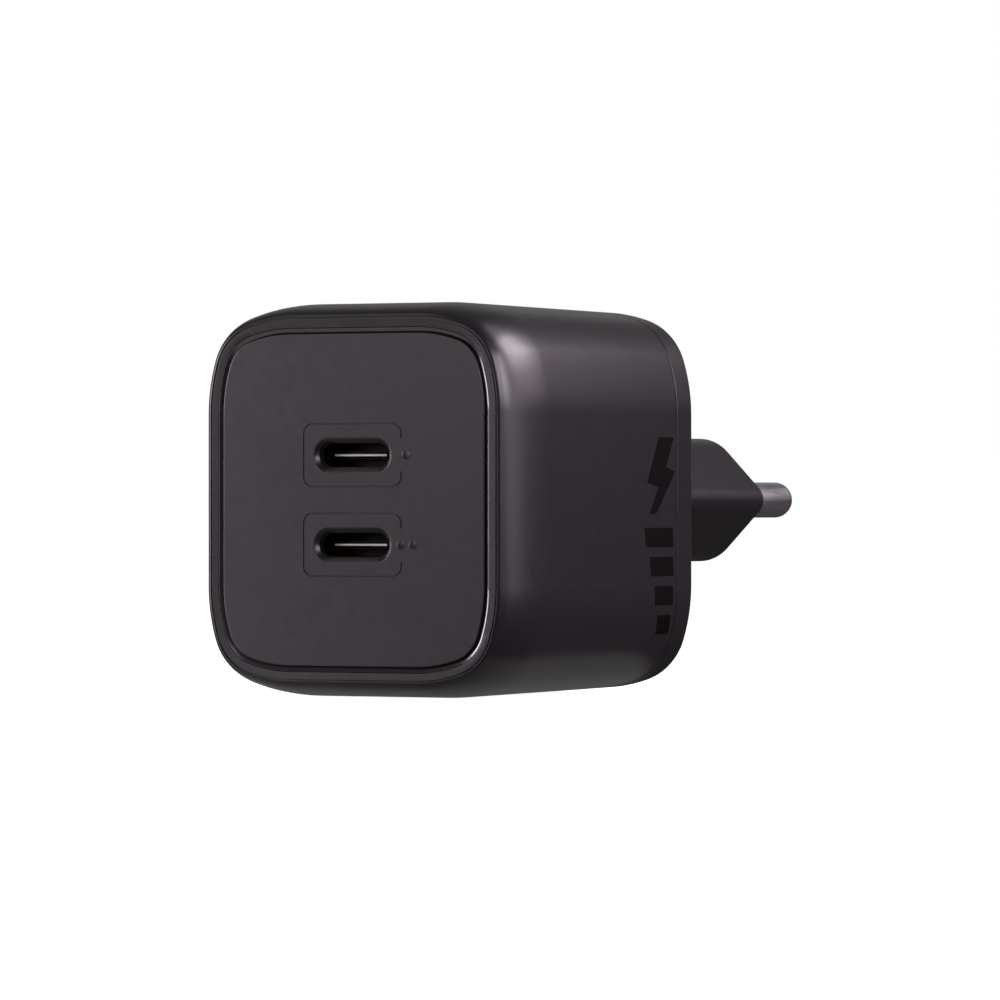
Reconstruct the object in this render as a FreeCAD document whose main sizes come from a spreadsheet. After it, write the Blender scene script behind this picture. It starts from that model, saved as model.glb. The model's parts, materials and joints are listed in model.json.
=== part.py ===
import FreeCAD, Part
import math
import os
import re

import Sketcher

# USB wall charger with two upright USB-C receptacles and a flat two-pin plug on its back.
#
# Frame: millimetres, origin in the middle of the plug's engagement face (the face that meets the
# wall socket), +Y along the pins and away from the charger, +X to the right seen from the front,
# +Z up.  The receptacles open towards -Y.  A "depth" is measured back from the front face, so the
# front face has depth 0 and the engagement face has depth shell_depth + neck_length.

DIMENSIONS = {
    # Outline of the housing seen from the front, where it is largest: straight sides, and corners
    # whose curvature grows smoothly (a large, a small and again a large tangent arc).
    "half_width": 19.75,
    "half_height": 21.0,
    "corner_length": 11.8,
    "corner_large_radius": 19.75,
    "corner_small_radius": 7.35,
    # Side view of the shell: depths behind the front face.  The draft is the slope of the sides,
    # which close in towards the back.
    "shell_depth": 39.0,
    "seam_depth": 35.15,
    "edge_depth": 7.6,
    "edge_inset": 1.75,
    "draft": 0.014,
    "rim_groove_width": 0.16,
    "rim_groove_depth": 0.14,
    "wall": 2.1,
    "seam_bevel": 0.04,
    "cover_edge_radius": 1.1,
    # Front plate and the ring round it.
    "ring_inset": 2.72,
    "plate_inset": 3.35,
    "ring_gap": 0.04,
    "ring_land": 0.03,
    "ring_sink": 0.05,
    "ring_slope": 0.36,
    "plate_thickness": 2.0,
    "shelf_thickness": 1.8,
    "window_inset": 4.7,
    # Receptacles.
    "port_spacing": 9.5,
    "port_width": 8.8,
    "port_height": 2.75,
    "port_bevel": 0.5,
    "port_lip": 0.75,
    "receptacle_width": 8.94,
    "receptacle_height": 3.16,
    "receptacle_wall": 0.3,
    "receptacle_length": 6.5,
    "receptacle_clearance": 0.06,
    "tongue_width": 6.69,
    "tongue_thickness": 0.7,
    "tongue_nose_thickness": 0.3,
    "tongue_nose_length": 0.5,
    "tongue_setback": 0.95,
    "tongue_base_length": 1.6,
    "contact_pitch": 0.5,
    "contact_width": 0.25,
    "contact_thickness": 0.03,
    "contact_length": 3.2,
    "port_groove_width": 12.4,
    "port_groove_height": 6.8,
    "port_groove_radius": 1.15,
    "port_groove_line": 0.14,
    "port_groove_cut": 0.1,
    "port_label_gap": 3.5,
    # Plug neck, shaped to sit in a recessed socket, and its two pins.
    "neck_length": 18.3,
    "neck_height": 13.7,
    "neck_width": 35.3,
    "neck_flats": 26.1,
    "neck_shoulder_radius": 5.0,
    "neck_edge_radius": 0.4,
    "neck_end_wall": 4.0,
    "neck_cavity_width": 22.4,
    "neck_cavity_height": 9.4,
    "neck_cavity_radius": 1.0,
    "pin_pitch": 18.6,
    "pin_radius": 2.0,
    "pin_length": 19.0,
    "sleeve_length": 10.0,
    "sleeve_radius": 1.75,
    "shank_radius": 1.5,
    "pin_boss_radius": 3.5,
    "pin_boss_length": 8.0,
    "pin_stub_length": 2.0,
    # Rear cover: the spigot that enters the housing.
    "spigot_clearance": 0.06,
    "spigot_thickness": 1.2,
    "spigot_length": 3.0,
    "cover_thickness": 2.0,
    # Pin contacts, bent from strip.
    "strip_width": 3.6,
    "strip_thickness": 0.4,
    "strip_rise": 2.6,
    # Circuit boards: main board below, input board above, output board behind the front.
    "board_thickness": 1.2,
    "board_half_width": 15.5,
    "board_level": 14.4,
    "board_start_depth": 9.9,
    "board_length": 21.8,
    "output_board_thickness": 1.0,
    "output_board_half_width": 14.0,
    "output_board_half_height": 14.2,
    "board_corner_radius": 1.5,
    # Transformer: two E-shaped core halves round a bobbin.
    "transformer_x": 5.4,
    "transformer_depth": 21.1,
    "core_width": 20.0,
    "core_breadth": 12.0,
    "core_height": 15.0,
    "core_post": 6.0,
    "core_leg": 3.0,
    "core_yoke": 3.4,
    "core_lift": 0.3,
    "bobbin_clearance": 0.1,
    "bobbin_wall": 0.7,
    "bobbin_flange": 0.8,
    "bobbin_rail": 2.4,
    "winding_thickness": 3.0,
    "winding_corner": 2.6,
    # Bulk capacitors.
    "bulk_radius": 5.0,
    "bulk_height": 16.0,
    "bulk_x": -10.2,
    "bulk_front_depth": 15.7,
    "bulk_rear_depth": 26.2,
    "bulk_edge": 0.8,
    "bulk_groove": 0.35,
    # Common-mode choke.
    "choke_x": -8.3,
    "choke_depth": 17.5,
    "choke_level": 9.9,
    "choke_radius": 6.0,
    "choke_bore": 3.0,
    "choke_thickness": 6.0,
    "choke_wire": 0.9,
    "choke_sector": 130.0,
    # Parts on the input board, hanging down from it.
    "film_capacitor_length": 13.0,
    "film_capacitor_breadth": 6.0,
    "film_capacitor_height": 11.0,
    "film_capacitor_x": 7.2,
    "film_capacitor_depth": 13.4,
    "film_capacitor_corner": 1.0,
    "bridge_length": 7.0,
    "bridge_breadth": 6.0,
    "bridge_height": 2.5,
    "bridge_x": 4.4,
    "bridge_depth": 20.6,
    "disc_radius": 3.6,
    "disc_thickness": 3.0,
    "disc_lead": 1.0,
    "disc_edge": 0.8,
    "varistor_x": -10.6,
    "thermistor_x": -2.4,
    "safety_capacitor_x": 11.6,
    "input_disc_depth": 27.9,
    "safety_capacitor_depth": 20.4,
    "fuse_radius": 1.8,
    "fuse_length": 8.6,
    "fuse_x": 2.6,
    "fuse_cap": 1.4,
    # Surface-mounted parts under the main board, and what cools them.
    "switch_size": 8.0,
    "switch_height": 0.9,
    "switch_x": -6.0,
    "switch_depth": 20.0,
    "rectifier_length": 6.0,
    "rectifier_breadth": 5.0,
    "rectifier_x": 8.0,
    "rectifier_depth": 15.0,
    "optocoupler_length": 4.4,
    "optocoupler_breadth": 6.8,
    "optocoupler_height": 2.0,
    "optocoupler_x": 8.5,
    "optocoupler_depth": 26.0,
    "chip_edge": 0.25,
    "pad_margin": 0.8,
    "pad_thickness": 1.5,
    "spreader_half_width": 10.0,
    "spreader_length": 20.0,
    "spreader_thickness": 0.6,
    "film_thickness": 0.25,
    "film_half_width": 12.0,
    # Parts on the front of the output board.
    "inductor_size": 6.6,
    "inductor_height": 3.0,
    "inductor_x": 9.6,
    "inductor_level": 9.0,
    "controller_size": 4.0,
    "controller_x": 9.6,
    "controller_level": 2.8,
    "output_capacitor_width": 4.3,
    "output_capacitor_height": 2.8,
    "output_capacitor_x": 4.0,
    "output_capacitor_level": 11.6,
    # Pins that join the boards.
    "link_pin": 0.8,
    "link_pitch": 1.3,
    "input_link_x": 14.0,
    "input_link_depth": 28.0,
    "output_link_x": -3.4,
    "output_link_reach": 1.8,
}

doc = FreeCAD.newDocument("usb_wall_charger")
dims = doc.addObject("Spreadsheet::Sheet", "dims")
for row, (alias, size) in enumerate(DIMENSIONS.items(), start=1):
    dims.set(f"A{row}", alias)
    dims.set(f"B{row}", str(size))
    dims.setAlias(f"B{row}", alias)
doc.recompute()

FRONT = "(-shell_depth - neck_length)"


def taper(depth):
    """How far the sides have closed in at a depth."""
    return f"draft * ({depth} - edge_depth)"


# ---------------------------------------------------------------- expressions

def bound(formula):
    """Turn a formula in plain dimension names into an expression on the sheet."""
    def cell(match):
        word = match.group()
        return "dims." + word if word in DIMENSIONS else word
    return re.sub(r"[a-z][a-z_]+", cell, str(formula))


def value(formula):
    """Number that a formula has now."""
    return float(dims.evalExpression(bound(formula)))


def bind(target, prop, formula):
    """Drive one property of an object by a formula."""
    target.setExpression(prop, bound(formula))


def place(target, x="0", y="0", z="0", axis=(0, 0, 1), angle=0.0):
    """Turn an object about an axis, then drive its position."""
    turn = FreeCAD.Rotation(FreeCAD.Vector(*axis), angle)
    target.Placement = FreeCAD.Placement(FreeCAD.Vector(value(x), value(y), value(z)), turn)
    for letter, formula in zip("xyz", (x, y, z)):
        bind(target, ".Placement.Base." + letter, formula)


# ---------------------------------------------------------------- bodies and sketches

def new_body(label, depth="0", x="0", z="0"):
    """Empty body whose origin lies at one depth behind the front face."""
    body = doc.addObject("PartDesign::Body", label)
    body.Label = label
    place(body, x, f"{FRONT} + {depth}", z)
    return body


def new_sketch(body, name, ahead="0", plane="XZ_Plane"):
    """Sketch on one of the body's planes.  On XZ, `ahead` moves it towards the front."""
    sketch = body.newObject("Sketcher::SketchObject", f"{body.Name}_{name}")
    support = next(item for item in body.Origin.OriginFeatures if item.Role == plane)
    sketch.AttachmentSupport = [(support, "")]
    sketch.MapMode = "FlatFace"
    sketch.AttachmentOffset.Base.z = value(ahead)
    bind(sketch, ".AttachmentOffset.Base.z", ahead)
    return sketch


def drive(sketch, name, kind, *where, formula):
    """Add one dimensional constraint and drive it by a formula."""
    index = sketch.addConstraint(Sketcher.Constraint(kind, *where, value(formula)))
    sketch.renameConstraint(index, name)
    bind(sketch, "Constraints." + name, formula)


def arc(centre, radius, start, end):
    """Counter-clockwise arc in the sketch plane, angles in radians."""
    circle = Part.Circle(FreeCAD.Vector(*centre, 0), FreeCAD.Vector(0, 0, 1), radius)
    return Part.ArcOfCircle(circle, start, end)


def line(start, end):
    return Part.LineSegment(FreeCAD.Vector(*start, 0), FreeCAD.Vector(*end, 0))


def join_smoothly(sketch, chain):
    """Make each edge of a closed chain tangent to the next at their shared end."""
    for here, following in zip(chain, chain[1:] + chain[:1]):
        sketch.addConstraint(Sketcher.Constraint("Tangent", here, 2, following, 1))


def soft_outline(sketch, inset):
    """The housing's outline moved inwards by `inset`: four sides, three arcs to a corner."""
    large = value(f"corner_large_radius - ({inset})")
    small = value(f"corner_small_radius - ({inset})")
    half = (value(f"half_width - ({inset})"), value(f"half_height - ({inset})"))
    straight = (value("half_width - corner_length"), value("half_height - corner_length"))
    growth = value("(corner_length - corner_large_radius) / (corner_large_radius - corner_small_radius)")
    turn = math.pi / 4 + math.asin(growth / math.sqrt(2))

    sides, large_arcs, small_arcs, chain = [], [], [], []
    for quarter in range(4):
        across, along = quarter % 2, 1 - quarter % 2
        spin = quarter * math.pi / 2

        def turned(out, up):
            return (out * math.cos(spin) - up * math.sin(spin),
                    out * math.sin(spin) + up * math.cos(spin))

        first = (half[across] - large, straight[along])
        middle = (first[0] + (large - small) * math.cos(turn), first[1] + (large - small) * math.sin(turn))
        last = (straight[across], half[along] - large)
        sides.append(sketch.addGeometry(line(turned(half[across], -straight[along]),
                                             turned(half[across], straight[along]))))
        first_arc = sketch.addGeometry(arc(turned(*first), large, spin, spin + turn))
        middle_arc = sketch.addGeometry(arc(turned(*middle), small, spin + turn, spin + math.pi / 2 - turn))
        last_arc = sketch.addGeometry(arc(turned(*last), large, spin + math.pi / 2 - turn, spin + math.pi / 2))
        large_arcs += [first_arc, last_arc]
        small_arcs.append(middle_arc)
        chain += [sides[-1], first_arc, middle_arc, last_arc]

    join_smoothly(sketch, chain)
    for side, axis in zip(sides, (-1, -2, -1, -2)):
        sketch.addConstraint(Sketcher.Constraint("Symmetric", side, 1, side, 2, axis))
    for side, sign in ((sides[0], 1), (sides[2], -1)):
        drive(sketch, f"side_{side}", "DistanceX", -1, 1, side, 1, formula=f"{sign} * (half_width - ({inset}))")
        drive(sketch, f"run_{side}", "DistanceY", side, 1, side, 2,
              formula=f"{2 * sign} * (half_height - corner_length)")
    for side, sign in ((sides[1], 1), (sides[3], -1)):
        drive(sketch, f"side_{side}", "DistanceY", -1, 1, side, 1, formula=f"{sign} * (half_height - ({inset}))")
        drive(sketch, f"run_{side}", "DistanceX", side, 1, side, 2,
              formula=f"{-2 * sign} * (half_width - corner_length)")
    for arcs, name in ((large_arcs, "corner_large_radius"), (small_arcs, "corner_small_radius")):
        drive(sketch, f"{name}_{arcs[0]}", "Radius", arcs[0], formula=f"{name} - ({inset})")
        for other in arcs[1:]:
            sketch.addConstraint(Sketcher.Constraint("Equal", arcs[0], other))


def rounded_loop(sketch, corners):
    """Convex loop round circles (x, z, radius), given counter-clockwise, joined by tangents."""
    circles = [tuple(value(part) for part in corner) for corner in corners]
    normals = []
    for (x1, z1, r1), (x2, z2, r2) in zip(circles, circles[1:] + circles[:1]):
        gap = math.hypot(x2 - x1, z2 - z1)
        normals.append(math.atan2(z2 - z1, x2 - x1) - math.acos((r1 - r2) / gap))
    chain, arcs = [], []
    for index, (x, z, radius) in enumerate(circles):
        start, end = normals[index - 1], normals[index]
        while end < start:
            end += 2 * math.pi
        arcs.append(sketch.addGeometry(arc((x, z), radius, start, end)))
        next_x, next_z, next_radius = circles[(index + 1) % len(circles)]
        nx, nz = math.cos(end), math.sin(end)
        run = sketch.addGeometry(line((x + radius * nx, z + radius * nz),
                                      (next_x + next_radius * nx, next_z + next_radius * nz)))
        chain += [arcs[-1], run]
    join_smoothly(sketch, chain)
    for number, (item, (x, z, radius)) in enumerate(zip(arcs, corners)):
        drive(sketch, f"x_{number}_{item}", "DistanceX", -1, 1, item, 3, formula=x)
        drive(sketch, f"z_{number}_{item}", "DistanceY", -1, 1, item, 3, formula=z)
        drive(sketch, f"r_{number}_{item}", "Radius", item, formula=radius)


def polygon(sketch, points):
    """Closed polygon whose every point is driven by two formulas."""
    spots = [tuple(value(part) for part in point) for point in points]
    edges = [sketch.addGeometry(line(start, end)) for start, end in zip(spots, spots[1:] + spots[:1])]
    for here, following in zip(edges, edges[1:] + edges[:1]):
        sketch.addConstraint(Sketcher.Constraint("Coincident", here, 2, following, 1))
    for number, (edge, (x, z)) in enumerate(zip(edges, points)):
        drive(sketch, f"x_{number}", "DistanceX", -1, 1, edge, 1, formula=x)
        drive(sketch, f"z_{number}", "DistanceY", -1, 1, edge, 1, formula=z)


def rectangle(sketch, half_x, half_z, x="0", z="0"):
    polygon(sketch, [(f"{x} - {half_x}", f"{z} - {half_z}"), (f"{x} + {half_x}", f"{z} - {half_z}"),
                     (f"{x} + {half_x}", f"{z} + {half_z}"), (f"{x} - {half_x}", f"{z} + {half_z}")])


def slot(sketch, width, height, z="0"):
    """Slot with full round ends."""
    radius = f"({height}) / 2"
    reach = f"(({width}) - ({height})) / 2"
    rounded_loop(sketch, [(reach, z, radius), (f"-{reach}", z, radius)])


def rounded_rectangle(sketch, width, height, radius, z="0"):
    reach_x = f"(({width}) / 2 - ({radius}))"
    reach_z = f"(({height}) / 2 - ({radius}))"
    rounded_loop(sketch, [(reach_x, f"{z} - {reach_z}", radius), (reach_x, f"{z} + {reach_z}", radius),
                          (f"-{reach_x}", f"{z} + {reach_z}", radius),
                          (f"-{reach_x}", f"{z} - {reach_z}", radius)])


def circle(sketch, radius, x="0", z="0"):
    item = sketch.addGeometry(Part.Circle(FreeCAD.Vector(value(x), value(z), 0), FreeCAD.Vector(0, 0, 1),
                                          value(radius)))
    drive(sketch, f"x_{item}", "DistanceX", -1, 1, item, 3, formula=x)
    drive(sketch, f"z_{item}", "DistanceY", -1, 1, item, 3, formula=z)
    drive(sketch, f"r_{item}", "Radius", item, formula=radius)


# ---------------------------------------------------------------- features

def pad(body, name, sketch, length, backwards=False):
    """Raise a sketch towards the front, or towards the back."""
    feature = body.newObject("PartDesign::Pad", f"{body.Name}_{name}")
    feature.Profile = sketch
    feature.Reversed = backwards
    bind(feature, "Length", length)
    doc.recompute()
    return feature


def pocket(body, name, sketch, length, forwards=False):
    """Sink a sketch towards the back, or towards the front, and prove that it cut something."""
    before = body.Shape.Volume
    feature = body.newObject("PartDesign::Pocket", f"{body.Name}_{name}")
    feature.Profile = sketch
    feature.Reversed = forwards
    bind(feature, "Length", length)
    doc.recompute()
    assert feature.Shape.Volume < before - 1e-6, f"{feature.Name} cut nothing"
    return feature


def loft(body, name, sections, kind="AdditiveLoft", ruled=False):
    feature = body.newObject(f"PartDesign::{kind}", f"{body.Name}_{name}")
    feature.Profile = sections[0]
    feature.Sections = [(section, [""]) for section in sections[1:]]
    feature.Ruled = ruled
    doc.recompute()
    return feature


def dress(body, kind, name, size, wanted):
    """Fillet or chamfer the edges of the body's tip that `wanted` accepts."""
    base = body.Tip
    edges = [f"Edge{number}" for number, edge in enumerate(base.Shape.Edges, start=1) if wanted(edge)]
    feature = body.newObject(f"PartDesign::{kind}", f"{body.Name}_{name}")
    feature.Base = (base, edges)
    bind(feature, "Radius" if kind == "Fillet" else "Size", size)
    doc.recompute()
    return feature


def in_plane(edge, y):
    """True for an edge that lies wholly in the body's plane at height y."""
    box = edge.BoundBox
    return abs(box.YMin - y) < 1e-4 and abs(box.YMax - y) < 1e-4


def outer_edges(body, y):
    """Edges round the outside of the body's flat faces at height y."""
    faces = [face for face in body.Tip.Shape.Faces if all(in_plane(edge, y) for edge in face.Edges)]
    return [edge for face in faces for edge in face.OuterWire.Edges]


def along(edge, direction):
    """True for a straight edge along one axis."""
    if not isinstance(edge.Curve, Part.Line):
        return False
    return abs(abs(edge.Curve.Direction.dot(FreeCAD.Vector(*direction))) - 1) < 1e-6


# ---------------------------------------------------------------- primitives

def box(name, size, corner):
    """Box from its three sizes and its lowest corner."""
    item = doc.addObject("Part::Box", name)
    for prop, formula in zip(("Length", "Width", "Height"), size):
        bind(item, prop, formula)
    place(item, *corner)
    return item


def cylinder(name, radius, height, base, axis="z"):
    """Cylinder that grows along +X, +Y or +Z from its base centre."""
    item = doc.addObject("Part::Cylinder", name)
    bind(item, "Radius", radius)
    bind(item, "Height", height)
    turns = {"x": ((0, 1, 0), 90.0), "y": ((1, 0, 0), -90.0), "z": ((0, 0, 1), 0.0)}
    place(item, *base, *turns[axis])
    return item


def cut(name, base, tool):
    item = doc.addObject("Part::Cut", name)
    item.Base = base
    item.Tool = tool
    return item


def fuse(name, *shapes):
    item = doc.addObject("Part::MultiFuse", name)
    item.Shapes = list(shapes)
    return item


def group(name, *shapes):
    """Several separate solids that share one node."""
    item = doc.addObject("Part::Compound", name)
    item.Links = list(shapes)
    return item


def round_edges(name, base, radius, wanted):
    """Rounded edges on a primitive or a boolean."""
    doc.recompute()
    item = doc.addObject("Part::Fillet", name)
    item.Base = base
    numbers = [number for number, edge in enumerate(base.Shape.Edges, start=1) if wanted(edge)]
    item.Edges = [(number, value(radius), value(radius)) for number in numbers]
    return item


# ---------------------------------------------------------------- shell

def make_main_housing():
    """Five-sided shell: drafted soft-cornered tube, elliptical front edge, and a shelf for the plate."""
    body = new_body("main_housing", depth="seam_depth")
    back = new_sketch(body, "back")
    soft_outline(back, taper("seam_depth"))
    widest = new_sketch(body, "widest", ahead="seam_depth - edge_depth")
    soft_outline(widest, "0")
    loft(body, "tube", [back, widest], ruled=True)

    steps = 8
    sections = []
    for step in range(steps + 1):
        angle = 90 * (1 - step / steps)
        section = new_sketch(body, f"edge_{step}", ahead=f"seam_depth - edge_depth * (1 - cos({angle}))")
        soft_outline(section, f"edge_inset * (1 - sin({angle}))")
        sections.append(section)
    loft(body, "front_edge", sections)

    cavity = new_sketch(body, "cavity")
    soft_outline(cavity, "wall")
    pocket(body, "cavity", cavity, "seam_depth - plate_thickness - shelf_thickness", forwards=True)
    for name, inset, depth in (("window", "window_inset", "plate_thickness + shelf_thickness"),
                               ("recess", "ring_inset", "plate_thickness")):
        opening = new_sketch(body, name, ahead="seam_depth")
        soft_outline(opening, inset)
        pocket(body, name, opening, depth)
    groove = new_sketch(body, "rim_groove", ahead="seam_depth")
    soft_outline(groove, "edge_inset")
    soft_outline(groove, "edge_inset + rim_groove_width")
    pocket(body, "rim_groove", groove, "rim_groove_depth")

    outer = outer_edges(body, 0)
    dress(body, "Chamfer", "seam_bevel", "seam_bevel",
          lambda edge: any(edge.isSame(other) for other in outer))
    return body


def make_front_trim_ring():
    """Thin ring between housing and plate; its face slopes down from the rim to the plate."""
    body = new_body("front_trim_ring", depth="plate_thickness")
    outside = new_sketch(body, "outside")
    soft_outline(outside, "ring_inset + ring_gap")
    pad(body, "band", outside, "plate_thickness - ring_sink")
    low = new_sketch(body, "low", ahead="plate_thickness - ring_sink - ring_slope")
    soft_outline(low, "plate_inset")
    high = new_sketch(body, "high", ahead="plate_thickness - ring_sink")
    soft_outline(high, "ring_inset + ring_gap + ring_land")
    loft(body, "slope", [low, high], kind="SubtractiveLoft", ruled=True)
    inside = new_sketch(body, "inside", ahead="plate_thickness")
    soft_outline(inside, "plate_inset - ring_gap")
    pocket(body, "opening", inside, "plate_thickness")
    return body


def make_front_plate():
    """Plate with two bevelled receptacle openings, each in a shallow drawn frame."""
    body = new_body("front_plate", depth="plate_thickness")
    outline = new_sketch(body, "outline")
    soft_outline(outline, "plate_inset")
    pad(body, "plate", outline, "plate_thickness")
    front = "plate_thickness"
    for level, sign in (("upper", "+"), ("lower", "-")):
        middle = f"(0 {sign} port_spacing / 2)"
        opening = new_sketch(body, f"{level}_opening", ahead=front)
        slot(opening, "port_width", "port_height", middle)
        pocket(body, f"{level}_opening", opening, "plate_thickness")
        seat = new_sketch(body, f"{level}_seat")
        slot(seat, "receptacle_width + 2 * receptacle_clearance",
             "receptacle_height + 2 * receptacle_clearance", middle)
        pocket(body, f"{level}_seat", seat, "plate_thickness - port_lip", forwards=True)
        frame = new_sketch(body, f"{level}_frame", ahead=front)
        rounded_rectangle(frame, "port_groove_width", "port_groove_height", "port_groove_radius", middle)
        rounded_rectangle(frame, "port_groove_width - 2 * port_groove_line",
                          "port_groove_height - 2 * port_groove_line",
                          "port_groove_radius - port_groove_line", middle)
        pocket(body, f"{level}_frame", frame, "port_groove_cut")
        gap = new_sketch(body, f"{level}_label_gap", ahead=f"{front} - port_groove_cut")
        rectangle(gap, "port_groove_line", "port_label_gap / 2",
                  "(port_groove_width - port_groove_line) / 2", middle)
        pad(body, f"{level}_label_gap", gap, "port_groove_cut")

    near_ports = value("port_width / 2") + 0.1
    dress(body, "Chamfer", "opening_bevel", "port_bevel",
          lambda edge: in_plane(edge, -value(front)) and max(abs(edge.BoundBox.XMin),
                                                             abs(edge.BoundBox.XMax)) < near_ports)
    return body


def neck_corners():
    """Circles in the corners of the plug outline: two points left and right, four shoulders."""
    point = "(neck_flats / sqrt(2))"
    point_radius = f"(({point} - neck_width / 2) / (sqrt(2) - 1))"
    point_x = f"(neck_width / 2 - {point_radius})"
    shoulder_z = "(neck_height / 2 - neck_shoulder_radius)"
    shoulder_x = f"({point} - {shoulder_z} - sqrt(2) * neck_shoulder_radius)"
    radius = "neck_shoulder_radius"
    return [(point_x, "0", point_radius), (shoulder_x, shoulder_z, radius),
            (f"-{shoulder_x}", shoulder_z, radius), (f"-{point_x}", "0", point_radius),
            (f"-{shoulder_x}", f"-{shoulder_z}", radius), (shoulder_x, f"-{shoulder_z}", radius)]


def is_on_neck(edge):
    """True for an edge no further out than the plug's neck."""
    box = edge.BoundBox
    margin = 1e-3
    return (max(abs(box.XMin), abs(box.XMax)) < value("neck_width / 2") + margin
            and max(abs(box.ZMin), abs(box.ZMax)) < value("neck_height / 2") + margin)


def make_rear_cover():
    """Back shell with the plug neck, the spigot that enters the housing and two pin bosses."""
    body = new_body("rear_cover", depth="seam_depth")
    thickness = "(shell_depth - seam_depth)"
    seam = new_sketch(body, "seam")
    soft_outline(seam, taper("seam_depth"))
    back = new_sketch(body, "back", ahead=f"-{thickness}")
    soft_outline(back, taper("shell_depth"))
    loft(body, "cap", [seam, back], ruled=True)
    dress(body, "Fillet", "back_edge", "cover_edge_radius", lambda edge: in_plane(edge, value(thickness)))
    dress(body, "Chamfer", "seam_bevel", "seam_bevel", lambda edge: in_plane(edge, 0))

    spigot = new_sketch(body, "spigot")
    soft_outline(spigot, "wall + spigot_clearance")
    pad(body, "spigot", spigot, "spigot_length")
    neck = new_sketch(body, "neck", ahead=f"-{thickness}")
    rounded_loop(neck, neck_corners())
    pad(body, "neck", neck, "neck_length", backwards=True)
    for name, level in (("neck_root", thickness), ("neck_end", f"{thickness} + neck_length")):
        dress(body, "Fillet", name, "neck_edge_radius",
              lambda edge, level=level: in_plane(edge, value(level)) and is_on_neck(edge))

    hollow = new_sketch(body, "hollow", ahead="spigot_length")
    soft_outline(hollow, "wall + spigot_clearance + spigot_thickness")
    pocket(body, "hollow", hollow, f"spigot_length + {thickness} - cover_thickness")
    neck_hollow = new_sketch(body, "neck_hollow")
    rounded_rectangle(neck_hollow, "neck_cavity_width", "neck_cavity_height", "neck_cavity_radius")
    pocket(body, "neck_hollow", neck_hollow, f"{thickness} + neck_length - neck_end_wall")

    boss_floor = f"-({thickness} + neck_length - neck_end_wall)"
    for side, sign in (("left", "-"), ("right", "")):
        boss = new_sketch(body, f"{side}_boss", ahead=boss_floor)
        circle(boss, "pin_boss_radius", x=f"{sign}pin_pitch / 2")
        pad(body, f"{side}_boss", boss, "pin_boss_length")
        bore = new_sketch(body, f"{side}_bore", ahead=f"{boss_floor} + pin_boss_length")
        circle(bore, "pin_radius", x=f"{sign}pin_pitch / 2")
        pocket(body, f"{side}_bore", bore, "pin_boss_length + neck_end_wall")
    return body


# ---------------------------------------------------------------- pins

def make_pin(side, sign):
    """Turned pin: round nose, full shank, a waist for the sleeve, and a riveting stub inside."""
    body = new_body(f"plug_pin_{side}", depth="shell_depth + neck_length", x=f"{sign}pin_pitch / 2")
    grip = "(pin_boss_length + neck_end_wall)"
    profile = new_sketch(body, "profile", plane="XY_Plane")
    points = [("0", f"-{grip} - pin_stub_length"), ("shank_radius", f"-{grip} - pin_stub_length"),
              ("shank_radius", f"-{grip}"), ("pin_radius", f"-{grip}"), ("pin_radius", "0"),
              ("shank_radius", "0"), ("shank_radius", "sleeve_length"), ("pin_radius", "sleeve_length"),
              ("pin_radius", "pin_length - pin_radius"), ("0", "pin_length - pin_radius")]
    polygon(profile, points)
    shaft = body.newObject("PartDesign::Revolution", f"{body.Name}_shaft")
    shaft.Profile = profile
    shaft.ReferenceAxis = (profile, ["V_Axis"])
    shaft.Angle = 360
    doc.recompute()

    nose = new_sketch(body, "nose", plane="XY_Plane")
    top = value("pin_length")
    centre = (0, value("pin_length - pin_radius"))
    curve = nose.addGeometry(arc(centre, value("pin_radius"), 0, math.pi / 2))
    upright = nose.addGeometry(line((0, top), centre))
    base = nose.addGeometry(line(centre, (value("pin_radius"), centre[1])))
    nose.addConstraint(Sketcher.Constraint("Coincident", curve, 2, upright, 1))
    nose.addConstraint(Sketcher.Constraint("Coincident", upright, 2, base, 1))
    nose.addConstraint(Sketcher.Constraint("Coincident", base, 2, curve, 1))
    nose.addConstraint(Sketcher.Constraint("Coincident", curve, 3, base, 1))
    nose.addConstraint(Sketcher.Constraint("Vertical", upright))
    nose.addConstraint(Sketcher.Constraint("Horizontal", base))
    nose.addConstraint(Sketcher.Constraint("PointOnObject", base, 1, -2))
    drive(nose, "radius", "Radius", curve, formula="pin_radius")
    drive(nose, "level", "DistanceY", -1, 1, base, 1, formula="pin_length - pin_radius")
    dome = body.newObject("PartDesign::Revolution", f"{body.Name}_dome")
    dome.Profile = nose
    dome.ReferenceAxis = (nose, ["V_Axis"])
    dome.Angle = 360
    doc.recompute()
    return body


def make_sleeve(side, sign):
    """Insulating sleeve moulded into the waist of a pin."""
    body = new_body(f"pin_sleeve_{side}", depth="shell_depth + neck_length", x=f"{sign}pin_pitch / 2")
    ring = new_sketch(body, "ring")
    circle(ring, "sleeve_radius")
    circle(ring, "shank_radius")
    pad(body, "tube", ring, "sleeve_length", backwards=True)
    return body


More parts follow.
